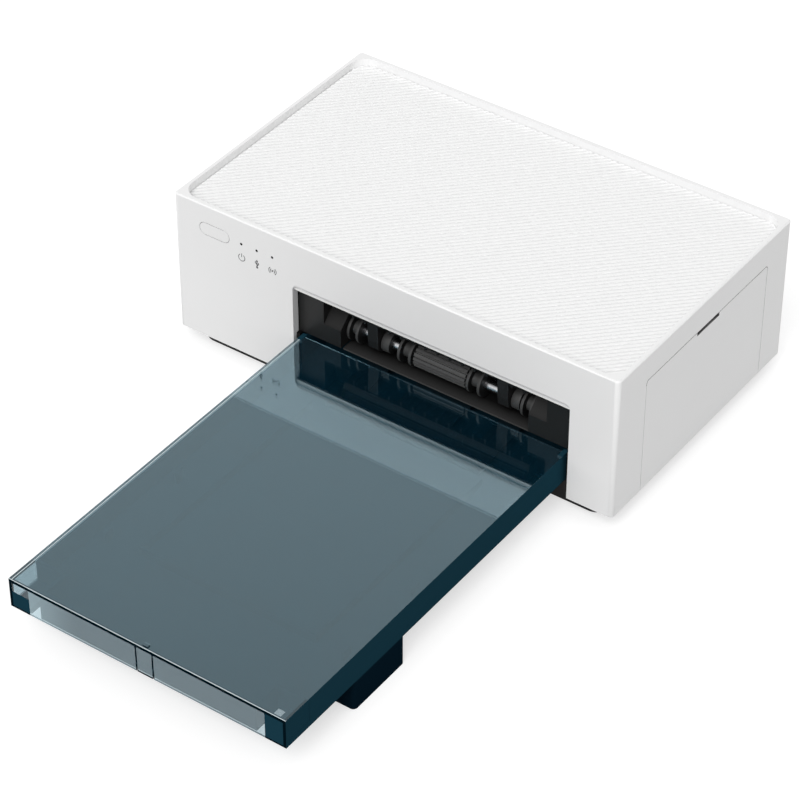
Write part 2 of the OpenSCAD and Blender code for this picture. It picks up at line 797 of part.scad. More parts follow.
module feed_motor() {
    color("#8d9196") placed() {
        difference() {
            union() {
                bar_x(15, drive_x0 - 32, drive_x0 - 2, pinion_c[0], pinion_c[1]);
                span([drive_x0 - 2 - e, pinion_c[0] - 15, pinion_c[1] - 15], [drive_x0 - 1, pinion_c[0] + 15,
                    pinion_c[1] + 12]);
            }
            bar_x(1 + run, drive_x0 - 16, drive_x1, pinion_c[0], pinion_c[1]);
        }
        for (p = [[0, -13], [13, 0]]) bar_x(1.8, drive_x0 - 1 - e, frame_l - frame_t, pinion_c[0] + p[0],
            pinion_c[1] + p[1]);
    }
}

module feed_pinion() {
    color("#c9a24a") placed() {
        gear(teeth_pinion, turn_pinion, pinion_c, 0.9, drive_x0, drive_x1);
        bar_x(1, drive_x0 - 14, drive_x1 + 0.5, pinion_c[0], pinion_c[1]);
    }
}

module pickup_shaft() {
    color(steel) placed() bar_x(pickup_shaft_r, gear_x0 - 0.8, frame_r + frame_t + 0.8, pickup_y, pickup_z);
}

module pickup_gear() {
    color("#d8d4c8") placed() gear(teeth_roller, turn_pickup, pickup_c, pickup_shaft_r);
}

module pickup_roller() {
    color("#333333") placed() difference() {
        bar_x(pickup_r, path_x - 12, path_x + 12, pickup_y, pickup_z);
        for (i = [0:17]) translate([path_x, pickup_y, pickup_z]) rotate([i * 20, 0, 0])
            translate([-13, -0.35, pickup_r - 0.7]) cube([26, 0.7, 2]);
        bar_x(pickup_shaft_r, path_x - 20, path_x + 20, pickup_y, pickup_z);
    }
}

head_half = 52;

module head_arm() {
    color("#9a9ea3") placed() difference() {
        union() {
            span([path_x - 62, -10, 80], [path_x + 62, 52, 82]);
            for (s = [-1, 1]) side_plate(path_x + s * 61 - 1, path_x + s * 61 + 1) {
                polygon([[-10, 80], [-10, 85], [50, 87], [62, 87], [64, 83], [60, 79], [52, 80]]);
                translate([head_axis_y, head_axis_z]) circle(r = 4);
            }
        }
        bar_x(2 + run, frame_l - 5, frame_r + 5, head_axis_y, head_axis_z);
        for (i = [-2:2]) translate([path_x + i * 22, 34, 79]) linear_extrude(4) rrect(12, 18, 2);
    }
}

module head_pin() {
    color(steel) placed() bar_x(2, frame_l - frame_t, frame_r + frame_t, head_axis_y, head_axis_z);
}

module heatsink() {
    color("#c3c6ca") placed() difference() {
        span([path_x - head_half - 4, -9, 51.9 + head_lift], [path_x + head_half + 4, 14, 80]);
        for (i = [0:12]) span([path_x - 54 + i * 8.6, -10, 60], [path_x - 50 + i * 8.6, 15, 76]);
    }
}

module thermal_bar() {
    color("#e8e3d2") placed() translate([0, 0, head_lift]) side_plate(path_x - head_half, path_x + head_half)
        polygon([[-7, 51.9], [-4, 49.6], [0.5, 46.2], [1.2, 45.4], [2.8, 45.4], [3.5, 46.2], [9, 49.6],
            [12, 51.9]]);
}

case_x0 = path_x - 64;
case_x1 = path_x + 80;

// Half tube that holds one ribbon roll, open towards the print head's window
module roll_tube(y, s) {
    side_plate(case_x0 + 3, case_x1 - 3) difference() {
        translate([y, spool_z]) circle(r = tube_r);
        translate([y, spool_z]) circle(r = tube_r - tube_t);
        translate([s > 0 ? y : y - tube_r - 1, spool_z - tube_r - 1]) square([tube_r + 1, tube_r - 2]);
    }
}

// Left end of the cartridge, low enough to pass under the lifted print head
module low_end(x0, x1) {
    side_plate(x0, x1) difference() {
        union() {
            for (y = [takeup_y, supply_y]) translate([y, spool_z]) circle(r = tube_r);
            translate([takeup_y + tube_r - 2.4, 44.9]) square([2.6, spool_z - 44.9]);
            translate([supply_y - tube_r - 0.2, 44.9]) square([2.6, spool_z - 44.9]);
            translate([takeup_y + tube_r - 2.4, 44.9]) square([supply_y - takeup_y - 2 * tube_r + 4.8, 1.9]);
        }
        for (y = [takeup_y, supply_y]) translate([y, spool_z]) circle(r = 5 + run);
    }
}

// Right end of the cartridge, a full plate with the finger grip
module grip_end(x0, x1) {
    side_plate(x0, x1) difference() {
        union() {
            for (y = [takeup_y, supply_y]) translate([y, spool_z]) circle(r = tube_r);
            translate([takeup_y, spool_z - 8]) square([supply_y - takeup_y, 8 + tube_r]);
        }
        for (y = [takeup_y, supply_y]) translate([y, spool_z]) circle(r = 5 + run);
    }
    span([x1 - e, -14, 62], [x1 + 9, 18, 64.4]);
    span([x1 + 6.4, -14, 58], [x1 + 9, 18, 69]);
}

module cartridge_case() {
    color("#3a3d42") placed() {
        roll_tube(takeup_y, 1);
        roll_tube(supply_y, -1);
        low_end(case_x0, case_x0 + 3 + e);
        grip_end(case_x1 - 3 - e, case_x1);
    }
}

module spool(y) {
    difference() {
        union() {
            bar_x(5, case_x0 - 0.4, case_x1 + 0.4, y, spool_z);
            bar_x(roll_r, path_x - 52, path_x + 52, y, spool_z);
            for (x = [path_x - 56, path_x + 54]) bar_x(10.5, x, x + 2, y, spool_z);
        }
        bar_x(3, case_x1 - 12, case_x1 + 2, y, spool_z);
        side_plate(case_x0 - 1, case_x0 + 7) translate([y, spool_z])
            for (a = [0, 60, 120]) rotate(a) square([1.8, 8], center = true);
    }
}

module supply_spool() {
    color("#20242a") placed() spool(supply_y);
}

module takeup_spool() {
    color("#20242a") placed() spool(takeup_y);
}

film_t = 0.12;
film_z = 45;

// Film from the supply roll under the print head to the take-up roll
module ribbon_film() {
    r = roll_r + 0.3;
    color("#3a2f55") placed() side_plate(path_x - 51, path_x + 51)
        polygon([[takeup_y, spool_z - r], [takeup_y, spool_z - r - film_t], [0.2, film_z], [3.8, film_z],
            [supply_y, spool_z - r - film_t], [supply_y, spool_z - r], [3.8, film_z + film_t],
            [0.2, film_z + film_t]]);
}

module takeup_gear() {
    color("#d8d4c8") placed() {
        side_plate(drive_x0, drive_x1) translate(takeup_c) gear_outline(teeth_takeup, turn_takeup);
        bar_x(4, drive_x1 - e, frame_l + 0.8, takeup_y, spool_z);
        side_plate(frame_l + 0.8 - e, case_x0 + 5) translate(takeup_c)
            for (a = [0, 60, 120]) rotate(a) square([1.4, 7.6], center = true);
    }
}

module ribbon_motor() {
    color("#8d9196") placed() {
        difference() {
            union() {
                bar_x(9, drive_x0 - 27, drive_x0 - 2, ribbon_c[0], ribbon_c[1]);
                span([drive_x0 - 2 - e, ribbon_c[0] - 9, ribbon_c[1] - 8], [drive_x0 - 1, ribbon_c[0] + 14,
                    ribbon_c[1] + 8]);
            }
            bar_x(1 + run, drive_x0 - 16, drive_x1, ribbon_c[0], ribbon_c[1]);
        }
        for (z = [-5, 5]) bar_x(1.8, drive_x0 - 1 - e, frame_l - frame_t, ribbon_c[0] + 11.5, ribbon_c[1] + z);
    }
}

module ribbon_pinion() {
    color("#c9a24a") placed() {
        gear(teeth_pinion, turn_ribbon, ribbon_c, 0.9, drive_x0, drive_x1);
        bar_x(1, drive_x0 - 14, drive_x1 + 0.4, ribbon_c[0], ribbon_c[1]);
    }
}

module rear_guide() {
    color(black) placed() difference() {
        side_plate(frame_l, frame_r) polygon([[24, 36], [24, 43], [30, 44], [back_y - wall - 0.3, 43.6],
            [back_y - wall - 0.3, 36]]);
        for (i = [-3:3]) span([path_x + i * 16 - 6, 28, 35], [path_x + i * 16 + 6, back_y - wall - 4, 41]);
    }
}

module main_board() {
    color("#1f5a3a") placed() span([mainboard_x, -66, 15], [mainboard_x + board_t, 72, 87]);
}

module board_chips() {
    x = mainboard_x + board_t;
    color("#2a2a2c") placed() {
        span([x, -20, 44], [x + 2, 4, 68]);
        span([x, 14, 50], [x + 1.6, 28, 62]);
    }
}

module board_capacitors() {
    x = mainboard_x + board_t;
    color("#7a7f86") placed() for (z = [38, 52, 66]) bar_x(4.5, x, x + 13, -44, z);
}

module dc_inlet() {
    y0 = back_y - wall - 11;
    color("#1e1e1e") placed() difference() {
        union() {
            bar_y(4, y0, back_y - 0.4, dc_x, dc_z);
            span([mainboard_x + board_t, y0, dc_z - 5], [dc_x + 5, back_y - wall - 0.2, dc_z + 5]);
        }
        bar_y(2.9, y0 + 2, back_y + 1, dc_x, dc_z);
    }
    color(steel) placed() bar_y(1, y0 + 2 - e, back_y - 1.4, dc_x, dc_z);
}

module usb_port() {
    y0 = back_y - wall - 7;
    color(steel) placed() difference() {
        front_plate(y0, back_y - 0.5) translate([usb_x, usb_z]) rrect(3.3, 9, 1.6);
        front_plate(y0 + 1, back_y) translate([usb_x, usb_z]) rrect(2.7, 8.4, 1.3);
    }
    color("#1e1e1e") placed()
        span([usb_x - 0.35, y0 + 1 - e, usb_z - 3.4], [usb_x + 0.35, back_y - 1.2, usb_z + 3.4]);
}

fan_y1 = back_y - wall;
fan_d = 10;
fan_r = 18;
fan_x = vent_x;
fan_z = vent_z;

module fan_frame() {
    color("#1e1e1e") placed() difference() {
        front_plate(fan_y1 - fan_d, fan_y1) difference() {
            translate([fan_x, fan_z]) rrect(40, 40, 3);
            translate([fan_x, fan_z]) circle(r = fan_r + 0.9);
        }
        for (sx = [-1, 1], sz = [-1, 1])
            bar_y(1.6, fan_y1 - fan_d - 1, fan_y1 + 1, fan_x + sx * 16, fan_z + sz * 16);
    }
    color("#1e1e1e") placed() {
        for (a = [45, 165, 285]) translate([fan_x, 0, fan_z]) rotate([0, a, 0])
            span([6, fan_y1 - fan_d, -1], [fan_r + 1.4, fan_y1 - fan_d + 1.4, 1]);
        difference() {
            bar_y(7, fan_y1 - fan_d, fan_y1 - fan_d + 1.6, fan_x, fan_z);
            bar_y(1, fan_y1 - fan_d + 0.5, fan_y1, fan_x, fan_z);
        }
    }
}

module fan_rotor() {
    color("#2b2b2b") placed() {
        bar_y(7.5, fan_y1 - fan_d + 2, fan_y1 - 0.6, fan_x, fan_z);
        bar_y(0.95, fan_y1 - fan_d + 0.6, fan_y1 - fan_d + 2 + e, fan_x, fan_z);
        for (i = [0:6]) translate([fan_x, fan_y1 - fan_d / 2 + 0.6, fan_z]) rotate([0, i * 360 / 7, 0])
            translate([7, 0, 0]) rotate([38, 0, 0]) cube([2 * (fan_r - 7.2), 7.6, 1], center = true);
    }
}

lug_w = 12;

// Smoke-coloured tray: floor, walls, edge guides and feet; the near corners stay open under the lid
module tray_base() {
    inner_x = tray_w / 2 - side_t;
    wall_x = tray_w / 2 - pocket;
    color(smoke) placed() translate([path_x, 0, 0]) difference() {
        union() {
            span([-tray_w / 2, wall_y0, tray_z], [tray_w / 2, tray_y1, tray_z + plate_t]);
            span([-wall_x, base_y0, tray_z], [wall_x, wall_y0 + e, tray_z + plate_t]);
            near_wall(wall_x);
            for (s = [-1, 1]) {
                x = s > 0 ? inner_x : -tray_w / 2;
                lug_x = s > 0 ? tray_w / 2 - lug_w : -tray_w / 2;
                span([x, wall_y0, tray_z], [x + side_t, tray_y1, lid_z0 - 0.1]);
                span([x, lid_y1 - ear_l, lid_z0 - 0.2], [x + side_t, lid_y1, tray_z1]);
                span([lug_x, base_y0, tray_z], [lug_x + lug_w, wall_y0 + e, tray_z + 3.4]);
                pocket_walls(s, wall_x);
                paper_guides(s);
                tray_foot(s);
            }
            span([-tray_w / 2, tray_y1 - 2, tray_z], [tray_w / 2, tray_y1, tray_z + 8.4]);
            span([-54, -252, tray_z + plate_t - e], [54, -250.4, tray_z + 7]);
        }
        for (s = [-1, 1])
            bar_x(lid_pin_r + run, s > 0 ? inner_x - 1 : -tray_w / 2 + 0.8,
                s > 0 ? tray_w / 2 - 0.8 : -inner_x + 1, lid_pin_y, lid_pin_z);
    }
}

// Near wall behind the lid's own, notched for the lid's latch tab
module near_wall(wall_x) {
    difference() {
        span([-wall_x, base_y0, tray_z], [wall_x, base_y0 + 2, lid_z0 - 0.1]);
        span([-tab_w / 2 - 2, base_y0 - 1, tray_z + 6], [tab_w / 2 + 2, base_y0 + 3, lid_z0]);
    }
}

// Two walls that set one near corner apart from the paper
module pocket_walls(s, wall_x) {
    x0 = s > 0 ? wall_x - 2 : -wall_x;
    span([x0, base_y0, tray_z], [x0 + 2, wall_y0 + 2, lid_z0 - 0.1]);
    span([s > 0 ? wall_x - 2 : -tray_w / 2, wall_y0, tray_z],
        [s > 0 ? tray_w / 2 : -wall_x + 2, wall_y0 + 2, lid_z0 - 0.1]);
}

// Edge guide and clips of one side of the paper stack
module paper_guides(s) {
    z0 = tray_z + plate_t - e;
    span([s * 53.2 - 0.6, -250, z0], [s * 53.2 + 0.6, -112, tray_z + 7]);
    for (y = [-252, -197]) span([s * 72.4 - 0.6, y - 3, z0], [s * 72.4 + 0.6, y + 3, tray_z + 9]);
}

foot_w = 14;
foot_y0 = -261;
foot_y1 = -220;
foot_round = 2.5;

// Foot under one side of the tray, a block with a hollow underside
module tray_foot(s) {
    x0 = s > 0 ? tray_w / 2 - foot_w : -tray_w / 2;
    difference() {
        translate([x0 + foot_w / 2, (foot_y0 + foot_y1) / 2, 0])
            linear_extrude(tray_z + e) rrect(foot_w, foot_y1 - foot_y0, foot_round);
        span([x0 + 2, foot_y0 + 2, -1], [x0 + foot_w - 2, foot_y1 - 2, tray_z - 2]);
    }
}

// Clear cover: top plate, near wall and two short side returns
module tray_lid() {
    skirt_x = tray_w / 2 - 2;
    narrow = tray_w / 2 - side_t - 0.3;
    color("#5c7480") placed() translate([path_x, 0, 0]) difference() {
        union() {
            span([-tray_w / 2, tray_y0, lid_z0], [tray_w / 2, lid_y1 - ear_l - 0.3, tray_z1]);
            span([-narrow, lid_y1 - ear_l - 0.4, lid_z0], [narrow, lid_pin_y, tray_z1]);
            bar_x(plate_t / 2, -narrow, narrow, lid_pin_y, lid_pin_z);
            span([-tray_w / 2, tray_y0, tray_z], [tray_w / 2, tray_y0 + 2, lid_z0 + e]);
            for (s = [-1, 1]) {
                x0 = s > 0 ? skirt_x : -tray_w / 2;
                span([x0, tray_y0, tray_z + 3.8], [x0 + 2, wall_y0 - 0.4, lid_z0 + e]);
                bar_x(lid_pin_r, s > 0 ? narrow - e : -tray_w / 2 + 1,
                    s > 0 ? tray_w / 2 - 1 : -narrow + e, lid_pin_y, lid_pin_z);
            }
            span([-1.6, tray_y0 + 1.2, tray_z1 - e], [1.6, tray_y0 + 3.2, tray_z1 + 0.6]);
        }
        for (s = [-1, 1])
            span([s * tab_w / 2 - 0.3, tray_y0 - 1, tray_z - 1],
                [s * tab_w / 2 + 0.3, tray_y0 + 3, lid_z0 - 2]);
    }
}

lift_y0 = -106;
lift_y1 = -41;
lift_z0 = tray_z + plate_t + 1.5;
lift_angle = 6.5;
lift_half = 48;

module lift_plate() {
    color("#22303a") placed() translate([path_x, lift_y0, lift_z0]) rotate([lift_angle, 0, 0]) {
        difference() {
            span([-lift_half, 0, -0.5], [lift_half, lift_y1 - lift_y0, 0.5]);
            for (s = [-1, 1]) translate([s * 26, 34, -2]) linear_extrude(4) rrect(18, 30, 3);
        }
        bar_x(1.1, -lift_half, lift_half, 0, 0);
    }
}

module friction_pad() {
    color("#7a5a3a") placed() translate([path_x, lift_y0, lift_z0]) rotate([lift_angle, 0, 0])
        span([-9, lift_y1 - lift_y0 - 14, 0.5], [9, lift_y1 - lift_y0 - 1, 1.1]);
}

coil_r = 3.6;
coil_wire_r = 0.35;
coil_turns = 3.5;
coil_h = 5.3;
coil_rings = 42;
coil_sides = 6;
coil_rise = (coil_h - 2 * coil_wire_r) / coil_turns;

// Point of the spring's middle line at a fraction f of its length
function coil_point(f) = let(a = 360 * coil_turns * f)
    [coil_r * cos(a), coil_r * sin(a), coil_wire_r + f * coil_turns * coil_rise];

// Round section of the wire at a fraction f of its length
function coil_ring(f) = let(c = coil_point(f), a = 360 * coil_turns * f)
    [for (j = [0:coil_sides - 1]) let(b = 360 * j / coil_sides + 30)
        c + coil_wire_r * [cos(b) * cos(a), cos(b) * sin(a), sin(b)]];

coil_gap = min([for (i = [0:coil_rings], j = [0:coil_rings]) if (j - i > coil_rings / coil_turns / 2)
    norm(coil_point(i / coil_rings) - coil_point(j / coil_rings))]) - 2 * coil_wire_r;

// Spring under the lift plate, one wound wire
module lift_spring() {
    echo(least_gap_between_curls = coil_gap);
    n = coil_sides;
    color(steel) placed() translate([path_x, lift_y1 - 22, tray_z + plate_t]) polyhedron(
        points = [for (i = [0:coil_rings]) each coil_ring(i / coil_rings)],
        faces = [
            [for (j = [n - 1:-1:0]) j],
            [for (j = [0:n - 1]) coil_rings * n + j],
            for (i = [0:coil_rings - 1], j = [0:n - 1]) let(k = (j + 1) % n)
                each [[i * n + j, (i + 1) * n + k, (i + 1) * n + j], [i * n + j, i * n + k, (i + 1) * n + k]]
        ]);
}

outer_shell();
top_panel();
base_plinth();
rubber_feet();
case_screws();
cartridge_door();
door_pins();
power_button();
power_switch();
status_lamps();
front_board();
slot_liner();
tray_guide();
paper_ramp();
shaft_brackets();
exit_shaft();
exit_roller();
exit_discs();
exit_gear();
left_frame();
right_frame();
frame_stays();
capstan();
capstan_gear();
pinch_roller();
platen_roller();
platen_shaft();
capstan_idler();
pickup_idler();
exit_idler();
idler_studs();
feed_motor();
feed_pinion();
pickup_shaft();
pickup_roller();
pickup_gear();
head_arm();
head_pin();
heatsink();
thermal_bar();
cartridge_case();
supply_spool();
takeup_spool();
ribbon_film();
takeup_gear();
ribbon_motor();
ribbon_pinion();
rear_guide();
main_board();
board_chips();
board_capacitors();
dc_inlet();
usb_port();
fan_frame();
fan_rotor();
tray_base();
tray_lid();
lift_plate();
lift_spring();
friction_pad();
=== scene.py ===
# %% [markdown]
# # A compact photo printer, dressed in Blender
# The shapes come from the CAD frame: every housing, roller, gear and tray is
# already there, in metres, standing on the ground plane. This lesson gives them
# their finishes: satin white ABS, smoke-tinted acrylic, black moulded plastic,
# rubber, ground steel. It also prints the small icons, and sets light and camera.

# %% Open the frame
import math
import bpy
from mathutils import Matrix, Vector


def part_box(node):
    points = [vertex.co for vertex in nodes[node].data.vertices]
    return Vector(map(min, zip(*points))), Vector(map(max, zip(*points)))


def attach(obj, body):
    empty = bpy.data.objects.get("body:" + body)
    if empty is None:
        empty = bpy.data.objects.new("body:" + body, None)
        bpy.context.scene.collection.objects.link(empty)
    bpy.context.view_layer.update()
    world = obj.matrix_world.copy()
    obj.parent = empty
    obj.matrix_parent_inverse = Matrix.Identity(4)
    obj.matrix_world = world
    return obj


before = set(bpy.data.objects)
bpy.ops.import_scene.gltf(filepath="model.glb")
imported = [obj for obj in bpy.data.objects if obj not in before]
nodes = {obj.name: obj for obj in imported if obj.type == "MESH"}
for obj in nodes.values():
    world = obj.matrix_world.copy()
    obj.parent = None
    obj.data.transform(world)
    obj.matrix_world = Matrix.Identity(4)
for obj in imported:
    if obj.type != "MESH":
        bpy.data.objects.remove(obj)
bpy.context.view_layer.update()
print("nodes in the frame:", len(nodes))

# %% [markdown]
# The camera comes first, so that each later step is judged in the real view. The
# printer was photographed from the front right and from well above, with a long
# lens, so lines that are parallel on the object stay nearly parallel. A focal
# length of 140 mm on a 36 mm sensor gives that calm, product-shot perspective. The
# place and the two angles come from a fit to the straight edges of shell and tray.

# %% Camera
LENS_MM, SENSOR_MM = 140.4, 36.0
CAMERA_PLACE = (0.7353, -0.98896, 1.0400)  # metres
LOOKS_DOWN, TURNED_RIGHT = 39.02, 35.49  # degrees
camera_data = bpy.data.cameras.new("photo_camera")
camera_data.lens = LENS_MM
camera_data.sensor_width = SENSOR_MM
camera_data.clip_end = 20.0
camera = bpy.data.objects.new("photo_camera", camera_data)
camera.location = CAMERA_PLACE
camera.rotation_euler = (math.radians(90 - LOOKS_DOWN), 0.0, math.radians(TURNED_RIGHT))
bpy.context.scene.collection.objects.link(camera)
bpy.context.scene.camera = camera
print("camera distance to the origin:", round(camera.location.length, 3), "m")

# %% [markdown]
# Shader trees repeat the same three acts: make a node, set it, link it. One small
# helper does all three. A second one turns the hex colours that a designer would
# write down into the linear values that a shader works in.

# %% Helpers for materials
MM = 0.001
WHITE = (1.0, 1.0, 1.0, 1.0)


def add_node(tree, kind, links=None, values=None, **settings):
    """Adds one node, sets its options and input values, and links sockets into it."""
    node = tree.nodes.new(kind)
    for name, value in settings.items():
        setattr(node, name, value)
    for key, value in (values or {}).items():
        node.inputs[key].default_value = value
    for key, socket in (links or {}).items():
        tree.links.new(socket, node.inputs[key])
    return node


def linear(hex_code):
    """An sRGB hex colour as linear red, green, blue and alpha."""
    parts = [int(hex_code[i:i + 2], 16) / 255 for i in (1, 3, 5)]
    curve = [c / 12.92 if c <= 0.04045 else ((c + 0.055) / 1.055) ** 2.4 for c in parts]
    return (*curve, 1.0)


def new_material(name):
    """An empty node material with its output node."""
    material = bpy.data.materials.new(name)
    material.use_nodes = True
    tree = material.node_tree
    tree.nodes.clear()
    return material, tree, add_node(tree, "ShaderNodeOutputMaterial")


def per_metre(size_mm):
    """The texture scale that makes one pattern cell about this many millimetres."""
    return 1000.0 / size_mm


print("white ABS #F2F2F2 is", [round(v, 3) for v in linear("#F2F2F2")], "in linear light")

# %% [markdown]
# Some finishes change from place to place on one moulding. A zone is a list of limits,
# each a value with its lowest and highest level, and a point lies in the zone where it
# keeps them all. A region is made of one or more zones, and its mask is 1 inside and 0
# outside. The limits come from the meshes themselves: every node's mesh is in the
# coordinates of the whole printer, in metres, so a part's own extent says where its
# edges are.

# %% Regions of a part
def region(tree, *zones):
    """1 where every (value, low, high) of at least one zone holds, else 0."""

    def join(masks, operation):
        joined = masks[0]
        for mask in masks[1:]:
            joined = add_node(tree, "ShaderNodeMath", {0: joined, 1: mask},
                              operation=operation).outputs["Value"]
        return joined

    inside = []
    for limits in zones:
        kept = [add_node(tree, "ShaderNodeMath", {0: value},
                         {1: (low + high) / 2, 2: (high - low) / 2},
                         operation="COMPARE").outputs["Value"] for value, low, high in limits]
        inside.append(join(kept, "MULTIPLY"))
    return join(inside, "MAXIMUM")


def extent(name, axis):
    """Lowest and highest coordinate of a node's own mesh along one axis, in metres."""
    values = [vertex.co[axis] for vertex in nodes[name].data.vertices]
    return min(values), max(values)


lid_spans = [extent("tray_lid", axis) for axis in range(3)]
print("lid spans", [[round(v / MM, 1) for v in span] for span in lid_spans], "mm")

# %% [markdown]
# Most of the printer is injection-moulded plastic. A steel mould that was spark
# eroded leaves a fine, even grain: it can't be seen as dots from a step away, but
# it spreads the highlights, and that is why office white looks satin, not glossy.
# One recipe serves most moulded parts: two close colours in slow clouds for the
# slight unevenness of the resin, and fine noise for grain in roughness and bump.
#
# The crevice option paints shade into the narrow seams between the white parts, darker
# than the renderer's own shade there. It finds such places with short occlusion rays and
# darkens only them, and only between two heights: the seam round the top panel faces the
# light and stays pale, and the door needs it in its finger notch alone, at 77 to 80 mm.

# %% Moulded plastic
GLOSS_SPREAD = 0.05
SEAM_SHADE = "#2A2A2A"
SEAMS = {"reach_mm": 3.0, "closed": 0.1, "clear": 0.55, "low_mm": 0.0, "high_mm": 88.0}
NOTCH = {"reach_mm": 5.0, "closed": 0.5, "clear": 0.85, "low_mm": 76.8, "high_mm": 88.0}


def moulded(name, pale, deep, roughness, grain_mm=0.8, grain_um=6.0, cloud_mm=60.0, ior=1.5,
            specular=0.5, crevice=None):
    """A moulded resin with cloudy colour and an eroded grain.

    crevice paints shade into narrow places. It holds the length of the occlusion rays, the
    open share of the sky at which a place is fully dark and at which it is clear, and the two
    heights.
    """
    material, tree, output = new_material(name)
    place = add_node(tree, "ShaderNodeTexCoord")
    clouds = add_node(tree, "ShaderNodeTexNoise", {"Vector": place.outputs["Object"]},
                      {"Scale": per_metre(cloud_mm), "Detail": 3.0})
    tint = add_node(tree, "ShaderNodeMix", {"Factor": clouds.outputs["Fac"]}, data_type="RGBA")
    tint.inputs["A"].default_value = linear(pale)
    tint.inputs["B"].default_value = linear(deep)
    grain = add_node(tree, "ShaderNodeTexNoise", {"Vector": place.outputs["Object"]},
                     {"Scale": per_metre(grain_mm), "Detail": 2.0})
    gloss = add_node(tree, "ShaderNodeMapRange", {"Value": grain.outputs["Fac"]},
                     {"To Min": roughness - GLOSS_SPREAD, "To Max": roughness + GLOSS_SPREAD})
    bump = add_node(tree, "ShaderNodeBump", {"Height": grain.outputs["Fac"]},
                    {"Strength": 0.5, "Distance": grain_um * 1e-6})
    colour = tint.outputs["Result"]
    if crevice:
        open_sky = add_node(tree, "ShaderNodeAmbientOcclusion",
                            values={"Distance": crevice["reach_mm"] * MM}, samples=8)
        depth = add_node(tree, "ShaderNodeMapRange", {"Value": open_sky.outputs["AO"]},
                         {"From Min": crevice["closed"], "From Max": crevice["clear"],
                          "To Min": 1.0, "To Max": 0.0})
        at = add_node(tree, "ShaderNodeSeparateXYZ", {"Vector": place.outputs["Object"]})
        storey = region(tree, [(at.outputs["Z"], crevice["low_mm"] * MM,
                                crevice["high_mm"] * MM)])
        amount = add_node(tree, "ShaderNodeMath", {0: depth.outputs["Result"], 1: storey},
                          operation="MULTIPLY")
        # Painted shade: the seam colour is mixed in where the occlusion rays find a narrow place.
        seam_shaded = add_node(tree, "ShaderNodeMix", {"Factor": amount.outputs["Value"], "A": colour},
                          data_type="RGBA")
        seam_shaded.inputs["B"].default_value = linear(SEAM_SHADE)
        colour = seam_shaded.outputs["Result"]
    shader = add_node(tree, "ShaderNodeBsdfPrincipled",
                      {"Base Color": colour, "Roughness": gloss.outputs["Result"],
                       "Normal": bump.outputs["Normal"]},
                      {"IOR": ior, "Specular IOR Level": specular})
    tree.links.new(shader.outputs["BSDF"], output.inputs["Surface"])
    return material


white_abs = moulded("white ABS, spark-eroded", "#F2F2F2", "#EFEFEF", 0.45, grain_um=2.0, ior=1.46,
                    crevice=SEAMS)
door_abs = moulded("white ABS, door", "#F2F2F2", "#EFEFEF", 0.45, grain_um=2.0, ior=1.46,
                   crevice=NOTCH)
black_abs = moulded("black ABS, matt moulded", "#121213", "#0D0D0E", 0.5, specular=0.15)
charcoal_abs = moulded("charcoal ABS, slot moulding", "#1C1C1C", "#171717", 0.45, specular=0.25)
gear_pom = moulded("natural acetal, gears", "#E6E3DA", "#DAD6CB", 0.35, ior=1.48)
foot_rubber = moulded("black EPDM rubber, feet", "#1D1D1D", "#141414", 0.75, grain_mm=1.2,
                      grain_um=15.0)
print("moulded finishes:", white_abs.name, "/", black_abs.name, "and four more")

# %% [markdown]
# Three parts change colour with height. The top panel's slanting ribs are 0.45 mm high,
# and their grooves are painted a little greyer than the crests, as painted shade. The paper
# ramp is painted grey low down, where light reaches into the slot, and black above, as
# painted light and shade. The tray's side walls are painted a lighter blue, a painted glow
# for the light through them, and its feet are darker. One recipe serves them: a short ramp
# in the part's own Z mixes two colours.

# %% Graded plastic
def graded(name, high_hex, low_hex, low_z, high_z, roughness, grain_mm=0.8, specular=0.5,
           ior=1.46):
    """A moulded resin, low_hex below low_z and high_hex above high_z, in metres."""
    material, tree, output = new_material(name)
    place = add_node(tree, "ShaderNodeTexCoord")
    at = add_node(tree, "ShaderNodeSeparateXYZ", {"Vector": place.outputs["Object"]})
    rise = add_node(tree, "ShaderNodeMapRange", {"Value": at.outputs["Z"]},
                    {"From Min": low_z, "From Max": high_z})
    tint = add_node(tree, "ShaderNodeMix", {"Factor": rise.outputs["Result"]}, data_type="RGBA")
    tint.inputs["A"].default_value = linear(low_hex)
    tint.inputs["B"].default_value = linear(high_hex)
    grain = add_node(tree, "ShaderNodeTexNoise", {"Vector": place.outputs["Object"]},
                     {"Scale": per_metre(grain_mm), "Detail": 2.0})
    gloss = add_node(tree, "ShaderNodeMapRange", {"Value": grain.outputs["Fac"]},
                     {"To Min": roughness - GLOSS_SPREAD, "To Max": roughness + GLOSS_SPREAD})
    shader = add_node(tree, "ShaderNodeBsdfPrincipled",
                      {"Base Color": tint.outputs["Result"], "Roughness": gloss.outputs["Result"]},
                      {"IOR": ior, "Specular IOR Level": specular})
    tree.links.new(shader.outputs["BSDF"], output.inputs["Surface"])
    return material


rib_crest = extent("top_panel", 2)[1]
# Painted shade: the rib grooves are a greyer white than the crests.
panel_abs = graded("white ABS, ribbed panel", "#F6F6F6", "#E6E6E6", rib_crest - 0.4 * MM,
                   rib_crest - 0.14 * MM, 0.55)
ramp_low, ramp_high = extent("paper_ramp", 2)
# Painted light and shade: grey low down near the opening, black higher up in the slot.
ramp_abs = graded("black ABS, paper ramp with painted shade", "#101010", "#555555", ramp_low,
                  (ramp_low + ramp_high) / 2, 0.5, specular=0.1)
print("rib crests at", round(rib_crest / MM, 2), "mm, ramp from", round(ramp_low / MM, 1),
      "to", round(ramp_high / MM, 1), "mm")

# %% [markdown]
# The exit roller and its discs are touched by every sheet. Their outer faces are
# rubbed to a dusty grey while their flanks stay black. The pieces turn about the X
# axis, so a face whose normal has no X part is a rubbed one: the normal tells the
# shader where the wear belongs, and it stays right in every pose of the roller.

# %% Rubbed rollers
WEAR_FULL, WEAR_ENDS = 0.3, 0.7  # X part of the normal


